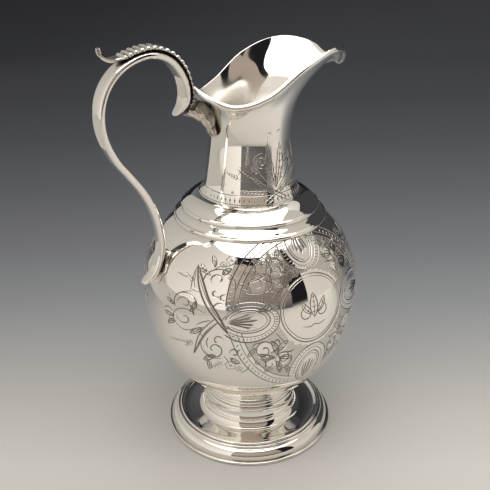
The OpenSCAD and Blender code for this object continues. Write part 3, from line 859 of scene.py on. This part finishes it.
# height of the rim and slope of the wall there, at every 22.5 degrees from the spout to the back
RIM_Z = np.array([216.5, 221, 227.5, 228, 221.5, 210, 205.5, 209.5, 213.5])
RIM_SLOPE = np.array([-12.0, 2, 36, 58, 62, 64, 57, 48, 42])


def round_rim(L, a):
    b = np.abs((np.asarray(a, float) + 180) % 360 - 180)
    t = b / 22.5
    i = np.clip(np.floor(t).astype(int), 0, 7)
    u = t - i
    p, q, r, s = L[np.abs(i - 1)], L[i], L[i + 1], L[np.where(i + 2 > 8, 16 - i - 2, i + 2)]
    return 0.5 * (2 * q + (r - p) * u + (2 * p - 5 * q + 4 * r - s) * u * u + (3 * q - p - 3 * r + s) * u ** 3)


def rim_point(a):
    a = np.asarray(a, float)
    c, s = np.cos(np.radians(a)), np.sin(np.radians(a))
    k = (1 + c) / 2
    w = MOUTH_W - LIP_IN * np.maximum(0, (k - 0.8) / 0.2) ** 1.2
    return np.stack([(SPOUT - BACK) / 2 + (SPOUT + BACK) / 2 * c, w * s, round_rim(RIM_Z, a)], -1)


def rim_rise(a):
    d = rim_point(np.asarray(a) + 1) - rim_point(np.asarray(a) - 1)
    out = unit(np.stack([d[..., 1], -d[..., 0], np.zeros(d.shape[:-1])], -1))
    e = np.radians(round_rim(RIM_SLOPE, a))
    return np.cos(e)[..., None] * out + np.stack([np.zeros_like(e), np.zeros_like(e), np.sin(e)], -1)


def neck_cone(z):
    w = np.maximum(0, FLARE_Z - np.asarray(z, float))
    return NECK_R + NECK_TAPER * w * w / (w + 4)


def neck_radius(z):
    skirt = np.clip(1 - (np.asarray(z, float) - NECK_Z) / 9, 0, 1) ** 2.4
    return neck_cone(z) + (NECK_BASE - neck_cone(NECK_Z)) * skirt


FLARE_LEN = 58.0     # sheet length given to the opening part, so that lines run on smoothly


def neck_point(a, y):
    """Outside of the neck at azimuth a in degrees and sheet height y."""
    a, y = np.broadcast_arrays(np.asarray(a, float), np.asarray(y, float))
    c, s = np.cos(np.radians(a)), np.sin(np.radians(a))
    zz = np.clip(y, NECK_Z, FLARE_Z)
    r = neck_radius(zz)
    low = np.stack([r * c, r * s, zz], -1)
    v = np.clip((y - FLARE_Z) / FLARE_LEN, 0, 1)[..., None]
    p0 = np.stack([NECK_R * c, NECK_R * s, np.full_like(c, FLARE_Z)], -1)
    p3 = rim_point(a)
    h = (p3[..., 2] - FLARE_Z)[..., None]
    w = np.linalg.norm(p3[..., :2] - p0[..., :2], axis=-1)[..., None]
    up = np.array([0, 0, 1.0])
    p1 = p0 + 0.55 * h * up
    p2 = p3 - (0.28 * h + 0.22 * w) * rim_rise(a)
    u = 1 - v
    high = u ** 3 * p0 + 3 * u * u * v * p1 + 3 * u * v * v * p2 + v ** 3 * p3
    return np.where((y > FLARE_Z)[..., None], high, low)


def neck_normal_at(a, y):
    da = neck_point(a + 0.5, y) - neck_point(a - 0.5, y)
    top = FLARE_Z + FLARE_LEN
    dy = neck_point(a, np.minimum(y + 0.25, top)) - neck_point(a, np.maximum(y - 0.25, NECK_Z))
    return unit(np.cross(da, dy))


NECK_MM = 24.0       # sheet millimetres for each radian round the neck


def ribbon(points, half_w, pitch, w=0.24):
    """Two edges that run side by side with slanting cuts between them."""
    P = np.array(through(points, 1.0))
    d = unit(np.gradient(P, axis=0))
    n = np.stack([-d[:, 1], d[:, 0]], -1)
    out = []
    for side in (-1, 1):
        out.append((P + n * half_w * side, taper(len(P), w * 1.3, 0.12, 0.12)))
    length = np.concatenate([[0], np.cumsum(np.linalg.norm(np.diff(P, axis=0), axis=1))])
    for q in np.arange(pitch, length[-1] - pitch / 2, pitch):
        c = np.array([np.interp(q, length, P[:, k]) for k in (0, 1)])
        m = np.array([np.interp(q, length, n[:, k]) for k in (0, 1)])
        f = np.array([np.interp(q, length, d[:, k]) for k in (0, 1)])
        a, b = c - m * half_w * 0.6 - f * 0.5, c + m * half_w * 0.6 + f * 0.5
        out.append((np.array([a, (a + b) / 2, b]), np.array([0.07, w * 0.8, 0.06])))
    return out


def plume(base, tip, lean, w=0.3):
    """A long leaf with lobed edges whose tip turns over in a hook."""
    b, t = np.array(base, float), np.array(tip, float)
    d = unit(t - b)
    n = np.array([-d[1], d[0]])
    size = np.linalg.norm(t - b)
    out = []
    for side in (-1, 1):
        edge = []
        for k in range(9):
            u = k / 8
            wide = 1.9 * math.sin(math.pi * min(1, u * 1.12 + 0.03)) ** 0.8 + 0.5 * (k % 2) * (1 - u)
            edge.append(b + (t - b) * u * 0.93 + n * side * wide + n * lean * math.sin(math.pi * u))
        out += line(edge, w, 0.15, 0.3, 0.8)
    out += line([b, b + d * size * 0.4 + n * lean * 0.9, b + d * size * 0.75 + n * lean * 0.7], w, 0.2, 0.5)
    hook = t + d * 0.2 - n * 1.1
    out += arc(hook[0], hook[1], 1.1, math.degrees(math.atan2(n[1], n[0])) - 30,
               math.degrees(math.atan2(n[1], n[0])) - 215, w * 0.9, 0.2, 0.4, step=0.7)
    for k in range(5):
        u = 0.16 + 0.13 * k
        c = b + (t - b) * u + n * lean * math.sin(math.pi * u)
        for side in (-1, 1):
            q = c + n * side * 1.3 + d * 1.5
            out.append((np.array([c, (c + q) / 2, q]), np.array([0.2, 0.22, 0.05])))
    return out


def neck_panel():
    """Dashed band, crossed ribbons, scrolls and two plumes over the body panel. x runs round the neck."""
    s = []
    for k in range(-15, 16):
        x = k * 2.35
        s.append((np.array([(x + 0.2, 154.4), (x, 155.5), (x - 0.1, 156.7)]), np.array([0.09, 0.42, 0.09])))
    s += line([(x, 158.0) for x in np.linspace(-36.6, 36.6, 8)], 0.24, 0, 0)
    s += line([(x, 153.7) for x in np.linspace(-36.6, 36.6, 8)], 0.2, 0, 0)
    half = ribbon([(-20.4, 172.6), (-13, 167.6), (-5, 161.6), (6.2, 154.4)], 0.85, 1.7, 0.22)
    half += plume((-0.8, 163.4), (-4.2, 189.6), 1.2, 0.28)
    half += line([(-1.4, 161), (-5.4, 165.4), (-9.4, 170.6), (-12.2, 176.4)], 0.26, 0.1, 0.4)
    half += spiral(-7.8, 175.6, 3.3, 0.5, -80, -640, 0.42, 0.1, 0.2)
    half += arc(-7.8, 175.6, 4.4, 80, 250, 0.26, 0.3, 0.3)
    half += fern((-16.4, 173.2), (-15.4, 183.4), 7, 2.2) + fern((-5.2, 160.4), (-18.6, 161.0), 7, 2.3, 0.32)
    half += fern((-19.4, 166.6), (-26.8, 169.2), 5, 1.9)
    half += line([(-12.4, 166.2), (-14.6, 169.4), (-18.2, 170.8), (-20.2, 168.6)], 0.3)
    half += blade((-10.2, 169.8), (-13.4, 173.8), 0.4, 1.1, 2, 0.22) + spiral(-3.4, 160.2, 1.5, 0.4, 160, 520, 0.24)
    for k in range(4):
        y = 164.2 + 1.9 * k
        half += line([(-1.6 - 0.5 * k, y), (-3.4 - 0.55 * k, y + 1.7), (-5.3 - 0.5 * k, y + 2.1)], 0.26, 0.2, 0.6)
    s += half + mirrored(half)
    s += blade((0, 161.2), (0, 168.6), 0, 1.2, 3, 0.24)
    for x in (-22.6, 0.0, 22.6):
        s += arc(x, 159.3, 0.55, 0, 350, 0.3, 0.3, 0.3, step=0.5)
    return s


def build_neck():
    y0, y1 = NECK_Z, 197.0           # the engraved sheet's lower and upper edge
    rad = math.radians(90) * NECK_MM
    ys = np.linspace(y0, y1, 34)
    border = [(lerp(-rad, rad, k / HALF), y0) for k in range(HALF)] + [(rad, y) for y in ys[:-1]]
    border += [(lerp(rad, -rad, k / HALF), y1) for k in range(HALF)] + [(-rad, y) for y in ys[:0:-1]]

    def inside(Q, margin):
        return (np.abs(Q[:, 0]) < rad - margin + 1e-6) & (Q[:, 1] > y0 + margin * 0.6) & (Q[:, 1] < y1 - margin)

    def azimuth(x):
        return 270 + np.degrees(x / NECK_MM)

    strokes = trimmed(neck_panel(), lambda Q: inside(Q, 0.5))
    flat, V, _, T, depth, cut = engrave(border, strokes, lambda x, y: neck_point(azimuth(x), y), np.zeros_like,
                                        inside, 1.35)
    N = neck_normal_at(azimuth(flat[:, 0]), flat[:, 1])
    skin = Skin()
    skin.both_sides(V - N * depth[:, None], N, T, depth, cut)
    az, top = np.arange(2 * HALF) * 180.0 / HALF, FLARE_Z + FLARE_LEN
    A, Y = np.meshgrid(az, np.linspace(y1, top, 46))
    skin.rings(neck_point(A, Y), neck_normal_at(A, Y))
    A, Y = np.meshgrid(az, np.concatenate([np.linspace(y0, FLARE_Z, 20), np.linspace(FLARE_Z, top, 60)[1:]]))
    P, N = neck_point(A, Y), neck_normal_at(A, Y)
    skin.rings(P - N * WALL, -N)
    # edges at the foot of the neck and at the rim, hidden in the joint and under the wire
    for k, facing in ((0, np.zeros_like(P[0]) - [0, 0, 1.0]), (-1, rim_rise(az))):
        skin.rings(np.stack([P[k], P[k] - N[k] * WALL]), np.stack([facing, facing]))
    v, n, f, depth, cut, _ = skin.weld()
    # haze grows down the throat, on the inside only
    inner = (n[:, :2] * v[:, :2]).sum(1) < 0
    deep = np.clip((214 - v[:, 2]) / 14, 0, 1)
    marks = {"cut": ("POINT", cut), "mat": ("POINT", np.zeros(len(v))),
             "haze": ("POINT", inner * deep * deep * (3 - 2 * deep))}
    make_piece("neck", "neck_and_spout", "polished_silver", ENGRAVED, v, f, closed=False,
               normals=corner_normals(v, f, n, depth), marks=marks)


def build_rim():
    """Reeded wire: a round bead over two fine reeds, with dark grooves between them."""
    n = 300
    outline = [(0, -4.35, 0.6)]
    for cx, cy, r, a0, a1, k, groove in ((0.06, -4.05, 0.26, -70, 66, 6, (-0.05, -3.72)),
                                         (0.16, -3.05, 0.55, -72, 72, 10, (-0.05, -2.4)),
                                         (0.1, -0.95, 1.42, -66, 104, 22, None)):
        outline += [(x, y, 0) for x, y in curl(cx, cy, r, a0, a1, k)]
        if groove:
            outline.append((*groove, 1.0))
    outline += [(-0.85, 0.3, 0), (-0.95, 0, 0), (0, 0, 0)]
    rings = []
    for i in range(n):
        a = 360 * i / n
        p = rim_point(a)
        t = unit(rim_point(a + 0.6) - rim_point(a - 0.6))
        rise = rim_rise(a)
        up = unit(rise - (rise @ t) * t)
        out = np.cross(t, up)
        rings.append([p + x * out + y * up for x, y, _ in outline])
    cuts = [c for _ in range(n) for _, _, c in outline]
    make_piece("rim_reeded", "rim_wire", "polished_silver", ENGRAVED, *sweep(rings, ends=False),
               marks={"cut": ("POINT", cuts), "mat": ("POINT", np.zeros(len(cuts)))})


build_neck()
build_rim()


# ------------------------------------------------------------------ handle

# centre lines of the handle's parts as (x, z), taken as smooth curves
ROUTE = [(-45.5, 200.5), (-40.5, 205.5), (-39.3, 212), (-41.5, 220.5), (-47.5, 228),
         (-56.5, 231.3), (-66, 229.8), (-74.8, 224.8), (-81.2, 216.8), (-84.2, 206.5),
         (-83.4, 195.5), (-79, 184.5), (-72.3, 175), (-66, 166), (-60.8, 156),
         (-57.5, 145), (-56.4, 135), (-57.6, 126.5), (-61, 118.5), (-68, 112.8)]
SEAM = 2.4           # station on the route where the scroll ends and the two shells begin
LEAF = [(-37.5, 202.2), (-36.35, 208), (-36.85, 215), (-40, 223.8), (-46.5, 230.9), (-55.6, 234.2),
        (-64.5, 233.2), (-71.8, 230.9), (-77.8, 230.6), (-81.3, 233.2), (-82, 236.4)]
# half of the leaf's rounded upper side, from its edge to its midrib, as shares of its half width and height
LEAF_TOP = [(1, 0), (0.99, 0.4), (0.93, 0.74), (0.8, 0.9), (0.62, 0.97), (0.42, 0.99), (0.26, 1.0), (0.14, 1.1),
            (0, 1.14)]
BRACKET = [(-38.6, 203), (-35.4, 200.8), (-31.8, 199.6), (-28.2, 197.4), (-25.4, 193.6), (-23.6, 189.4),
           (-22.8, 186.8)]
OUTER_H, INNER_H = 1.95, 1.75        # how far each shell stands off the seam
STRAP_W, STRAP_LOW = 5.5, 3.8        # half width of the strap at the top and at its tail
HANDLE_WALL = 0.8


def placed(route, t, across, out):
    c = along(route, t)
    d = along(route, t + 0.02) - along(route, t - 0.02)
    d = d / max(np.linalg.norm(d), 1e-9)
    return (c[0] + out * d[1], across, c[1] - out * d[0])


def power(v, e):
    return math.copysign(abs(v) ** e, v) if v else 0.0


def strap(t):
    w = lerp(STRAP_W, STRAP_LOW, smooth((t - 10) / 5))
    return w * math.sqrt(max(0.02, 1 - (max(0, t - 17.6) / 1.4) ** 4))


def shell(name, node, side, h, e, material):
    rings = []
    n = 240
    for i in range(n + 1):
        t = lerp(SEAM, 19, i / n)
        w, g = strap(t), h * lerp(1, 0.55, smooth((t - 17) / 2))
        ring = []
        for a in range(0, 181, 9):
            c, s = cos_sin(a)
            ring.append(placed(ROUTE, t, power(c, e) * w, side * g * s ** 0.8))
        for a in range(180, -1, -18):
            c, s = cos_sin(a)
            ring.append(placed(ROUTE, t, power(c, e) * max(0.1, w - HANDLE_WALL),
                               side * max(0.15, g - HANDLE_WALL) * max(s, 0) ** 0.8))
        rings.append(ring)
    v, f = [p for r in rings for p in r], []
    m = len(rings[0])
    for i in range(n):
        for j in range(m):
            k = (j + 1) % m
            f.append((i * m + j, i * m + k, (i + 1) * m + k, (i + 1) * m + j))
    # the ends are closed between the 21 outer points of a ring and its 11 inner ones
    outer = 21
    for base in (0, n * m):
        for j in range(outer - 1):
            p, q = j, j + 1
            r = m - 1 - (j + 1) // 2
            s = m - 1 - j // 2
            f.append((base + p, base + q, base + r) if r == s else (base + p, base + q, base + r, base + s))
    make_piece(name, node, "polished_silver", material, v, f, sharp=40)


def build_handle():
    shell("handle_outside", "handle_outer_shell", 1, OUTER_H, 0.55, POLISHED)
    shell("handle_inside", "handle_inner_shell", -1, INNER_H, 0.42, POLISHED)

    rings, n = [], 60
    for i in range(n + 1):
        u = i / n
        t = min(SEAM * u, SEAM - 0.001)
        k = math.sqrt(max(0.03, 1 - (1 - u) ** 5))
        g = lerp(0.55, 1, smooth(u * 1.3)) * k
        w = STRAP_W * lerp(0.75, 1, smooth(u * 1.5)) * k
        ring = []
        for a in range(0, 360, 9):
            c, s = cos_sin(a)
            ring.append(placed(ROUTE, t, power(c, 0.5) * w, (OUTER_H if s > 0 else INNER_H) * g * power(s, 0.8)))
        rings.append(ring)
    make_piece("handle_scroll", "handle_scroll_end", "cast_silver", CAST, *sweep(rings), sharp=50)

    # leaf: rounded ribs across it, serrated edges, a raised midrib and a curled plain tip
    rings, n, last = [], 760, len(LEAF) - 1
    for i in range(n + 1):
        u = i / n
        t = last * u
        q = t / 7
        grow, fade, plain = smooth(u * 9), 1 - smooth((u - 0.64) / 0.34), smooth((u - 0.67) / 0.05)
        rib = abs(math.sin(math.pi * 22 * (1.18 - 0.18 * q) * q)) ** 0.7 * (1 - plain)
        w = max(0.6, 5.3 * (0.35 + 0.65 * grow) * (0.24 + 0.76 * fade) * (0.87 + 0.15 * rib))
        h = lerp(0.5, 0.62, grow) * lerp(1, 2.3, smooth((t - 1.9) / 1.6)) * (0.34 + 0.91 * rib + 0.6 * plain)
        h *= lerp(1, 0.85, smooth((u - 0.85) / 0.15))
        low, dish = min(0.8, h), 0.55 * plain
        ring = []
        for x, y in LEAF_TOP + [(-x, y) for x, y in LEAF_TOP[-2::-1]]:
            ring.append(placed(LEAF, t, x * w, y * h * (1 - dish * (1 - abs(x)) ** 0.7)))
        for x, y in ((-0.7, -1), (0, -1.1), (0.7, -1)):
            ring.append(placed(LEAF, t, x * w, y * low))
        rings.append(ring)
    make_piece("handle_leaf_thumb", "handle_leaf", "cast_silver", CAST, *sweep(rings), sharp=50)

    # bracket: lumpy foliage that runs from the scroll onto the neck
    rings, n, last = [], 110, len(BRACKET) - 1
    for i in range(n + 1):
        u = i / n
        t = last * u
        lobe = abs(math.sin(math.pi * (4 * u + 0.2)))
        swell = smooth((u - 0.15) / 0.25) * (1 - smooth((u - 0.6) / 0.35))
        w = lerp(4.2, 4.0, u) * (0.88 + 0.22 * lobe) * math.sqrt(max(0.05, 1 - (max(0, u - 0.75) / 0.25) ** 3))
        under = (lerp(2.4, 1.4, u) + 0.7 * swell) * (0.9 + 0.2 * lobe)
        web = smooth((u - 0.04) / 0.24) * (1 - smooth((u - 0.5) / 0.35))
        over = (lerp(0.9, 1.3, u) + 6 * web) * (0.9 + 0.15 * lobe)
        ring = []
        for a in range(0, 360, 6):
            c, s = cos_sin(a)
            vein = 1 - 0.17 * (0.5 + 0.5 * math.cos(math.radians(a * 6) + 9 * u)) * (0.4 + 0.6 * lobe)
            p = placed(BRACKET, t, w * power(c, 0.8) * vein, s * (1.25 * under if s > 0 else over) * vein)
            d = math.hypot(p[0], p[1])
            r = float(neck_radius(p[2])) + 13 * (max(0, p[2] - FLARE_Z) / 27.5) ** 2.4 + 0.001
            if d < r:
                p = (p[0] * r / d, p[1] * r / d, p[2])
            ring.append(p)
        rings.append(ring)
    # the bracket takes the darker copy of the cast silver, painted shade for the corner under the rim
    make_piece("handle_bracket", "handle_upper_bracket", "cast_silver", SHADED_CAST_SILVER, *sweep(rings), sharp=60)

    # leaf-shaped mount between the body and the tail of the handle
    rows, cols, V = 60, 44, []
    for i in range(rows + 1):
        v = i / rows
        z = lerp(128.5, 112, v)
        w = 6.4 * math.sin(math.pi * (0.06 + 0.88 * v)) ** 0.6 * (0.86 + 0.14 * math.cos(4 * math.pi * v))
        r = float(body_radius(z)) + 0.001
        face = lerp(54.3, 60.6, smooth((134 - z) / 22)) - 0.4
        back, front = [], []
        for j in range(cols + 1):
            u = 2 * j / cols - 1
            y = u * w
            ridge = max(0, 1 - abs(u) * 1.3) ** 0.5
            veins = 1 - 0.16 * abs(math.sin(3.2 * math.pi * u + 1.5 * math.pi * v * abs(u)))
            thick = (0.45 + (1 - u * u) * (0.8 + 0.2 * math.cos(6 * math.pi * v))) * veins
            q = r + max(thick, ridge * max(0, min(3.6, face - r)))
            back.append((-math.sqrt(r * r - y * y), y, z))
            front.append((-math.sqrt(q * q - y * y), y, z))
        V.append(back + front[::-1])
    make_piece("handle_foot_leaf", "handle_lower_mount", "cast_silver", CAST, *sweep(V), sharp=60)


build_handle()


# ------------------------------------------------------------------ studio

def stage_mesh(name, verts, faces, material, tones=None):
    """A mesh of the studio. With tones it is a panel of light that the camera doesn't see."""
    me = bpy.data.meshes.new(name)
    me.from_pydata([tuple(v) for v in verts], [], faces)
    me.materials.append(material)
    ob = bpy.data.objects.new(name, me)
    bpy.context.scene.collection.objects.link(ob)
    if tones:
        layer = me.color_attributes.new("tone", "FLOAT_COLOR", "POINT")
        layer.data.foreach_set("color", np.array([(*c, 1) for c in tones], np.float32).ravel())
        ob.visible_camera = False
        ob.visible_shadow = False


def glow():
    """Light of the colour stored on each panel."""
    m = Nodes("studio_card")
    light = m.new("Emission", Color=m.attribute("tone", "Color"), Strength=1.0)
    m.put(m.tree.nodes["Material Output"].inputs["Surface"], light.outputs["Emission"])
    m.tree.nodes.remove(m.tree.nodes["Principled BSDF"])
    return m.material


GLOW = glow()
NEAR, FAR = 1.35, 3.6                # distance of the panels in metres
CENTRE = np.array([0, 0, 0.11])


def card(name, bearings, heights, tones, radius=NEAR):
    """Part of a dome of light round the set, between two bearings from the camera and two heights, in degrees.
    tones are those of the lower left, lower right, upper left and upper right corner, or one for the whole."""
    corners = [np.array(c) for c in (tones if isinstance(tones, list) else [tones] * 4)]
    na, ne = [max(2, int(abs(b - a) / 6)) for a, b in (bearings, heights)]
    verts, cols, faces = [], [], []
    for i in range(ne + 1):
        for j in range(na + 1):
            u, v = j / na, i / ne
            (ca, sa), (ce, se) = cos_sin(lerp(*bearings, u)), cos_sin(lerp(*heights, v))
            verts.append(CENTRE + ((TOWARDS * ca + RIGHT * sa) * ce + np.array([0, 0, se])) * radius)
            cols.append(lerp(lerp(corners[0], corners[1], u), lerp(corners[2], corners[3], u), v))
            if i and j:
                k = (i - 1) * (na + 1) + j - 1
                faces.append((k, k + 1, k + na + 2, k + na + 1))
    stage_mesh(name, verts, faces, GLOW, cols)


# walls of the light tent: a brown front, cream sides, a dark opening to the right and one behind
BROWN, DEEP_BROWN, CREAM, TAN = (0.44, 0.375, 0.32), (0.36, 0.30, 0.255), (0.86, 0.80, 0.72), (0.66, 0.61, 0.54)
card("card_front", (-23, 42), (16, 48), [BROWN, DEEP_BROWN, (0.42, 0.35, 0.29), (0.40, 0.33, 0.275)])
card("card_front_low", (-23, 42), (-5, 16), [(0.13, 0.125, 0.125), (0.06, 0.06, 0.065), BROWN, DEEP_BROWN])
card("card_left", (-62, -23), (-5, 57), [CREAM, (0.98, 0.93, 0.84), TAN, CREAM])
card("card_far_left", (-152, -62), (-5, 57), [(0.42, 0.40, 0.37), CREAM, (0.38, 0.36, 0.33), TAN])
card("card_right", (59, 112), (-5, 55),
     [(0.70, 0.65, 0.58), (0.62, 0.57, 0.50), (0.62, 0.57, 0.51), (0.50, 0.47, 0.42)])
card("card_back_right", (112, 160), (-5, 38),
     [(0.06, 0.06, 0.065), (0.05, 0.05, 0.055), (0.05, 0.05, 0.05), (0.05, 0.05, 0.05)], FAR)
card("card_back_right_top", (112, 160), (38, 57),
     [(0.7, 0.66, 0.6), (0.6, 0.57, 0.52), (0.9, 0.86, 0.8), (0.8, 0.76, 0.7)])
# dim wall behind, lighter towards the handle side
card("card_back", (160, 208), (12, 48),
     [(0.02, 0.02, 0.022), (0.21, 0.21, 0.215), (0.02, 0.02, 0.022), (0.05, 0.05, 0.052)], FAR)
# lights overhead
card("softbox_top", (-62, 62), (57, 90), (3.0, 2.9, 2.75))
card("softbox_left", (-152, -62), (57, 90), (1.8, 1.72, 1.62))
card("softbox_right", (62, 152), (52, 90), (1.9, 1.82, 1.72))
card("softbox_back", (152, 208), (48, 90), (1.8, 1.72, 1.62))

# pale board that lies on the floor, in metres to the right of the pitcher and behind it
BOARD = [(-1.34, -0.5), (-0.3, -0.5), (-0.3, 0.3), (-1.1, 1.0)]
stage_mesh("bounce_left", [RIGHT * x - TOWARDS * y + np.array([0, 0, 0.002]) for x, y in BOARD], [(0, 1, 2, 3)],
           GLOW, [(0.5, 0.47, 0.42)] * 4)

# depth behind the pitcher's axis in metres, and the colour there, which is painted falloff of the light
PAINTED_GROUND_FALLOFF = [(-0.20, (0.88, 0.86, 0.835)), (-0.05, (0.85, 0.845, 0.82)), (0.0, (0.715, 0.71, 0.695)),
          (0.064, (0.517, 0.53, 0.545)), (0.144, (0.349, 0.374, 0.401)), (0.25, (0.243, 0.259, 0.291)),
          (0.40, (0.168, 0.181, 0.208)), (0.62, (0.121, 0.131, 0.155)), (0.88, (0.112, 0.121, 0.144)),
          (1.27, (0.145, 0.157, 0.189)), (1.69, (0.233, 0.251, 0.287)), (2.4, (0.426, 0.444, 0.504))]
FRONT, DEPTH = 0.2, 3.0              # the ramp starts this far before the axis, and is this long


def build_ground():
    """One pale sheet whose colour darkens away from the camera and grows lighter again far back: painted falloff of
    the light on a backdrop.
    """
    m = Nodes("paper_sweep")
    # the square root gives the near tones more room on the ramp
    d = m.calc("MAXIMUM", m.add(m.along(-TOWARDS), FRONT), 0.0)
    d = m.calc("POWER", m.calc("DIVIDE", d, DEPTH), 0.5, True)
    colour = m.ramp(d, *[(math.sqrt(max(0, depth + FRONT) / DEPTH), tone) for depth, tone in PAINTED_GROUND_FALLOFF])
    colour = m.mix(1.0, colour, m.ramp(m.noise(240, 3, 0.6), (0.3, 0.985), (0.8, 1.0)), "MULTIPLY")
    # a little more light on the spout side
    lean = m.calc("MAXIMUM", m.add(m.mul(m.along(RIGHT), 0.4), 0.8), 0.6)
    paper = m.finish(Base_Color=m.mix(1.0, colour, lean, "MULTIPLY"), Roughness=0.75, Specular_IOR_Level=0.15)
    n, size = 24, 9.0
    verts = [((i / n - 0.5) * size, (j / n - 0.5) * size, 0) for j in range(n + 1) for i in range(n + 1)]
    corners = [j * (n + 1) + i for j in range(n) for i in range(n)]
    stage_mesh("ground", verts, [(k, k + 1, k + n + 2, k + n + 1) for k in corners], paper)


build_ground()

scene = bpy.context.scene
scene.world = bpy.data.worlds.new("studio")
scene.world.use_nodes = True
scene.world.node_tree.nodes["Background"].inputs["Color"].default_value = (0.012, 0.012, 0.014, 1)

# camera: millimetres to the right of the axis and above the floor for its aim, and back along the view
AIM_RIGHT, AIM_UP, DISTANCE, ELEVATION, LENS = -2.67, 118.2, 403.7, 25.088, 51.42
cam_data = bpy.data.cameras.new("camera")
cam_data.sensor_width = 36
cam_data.lens = LENS
cam_data.clip_start, cam_data.clip_end = 0.01, 50
cam = bpy.data.objects.new("camera", cam_data)
scene.collection.objects.link(cam)
level, rise = cos_sin(ELEVATION)
back = TOWARDS * level + np.array([0, 0, rise])
cam.location = (RIGHT * AIM_RIGHT + np.array([0, 0, AIM_UP]) + back * DISTANCE) * MM
cam.rotation_mode = "QUATERNION"
cam.rotation_quaternion = Vector(-back).to_track_quat("-Z", "Y")
scene.camera = cam

scene.view_settings.view_transform = "Standard"
scene.cycles.use_denoising = True
scene.cycles.max_bounces = 10
scene.cycles.glossy_bounces = 8
scene.cycles.sample_clamp_indirect = 6
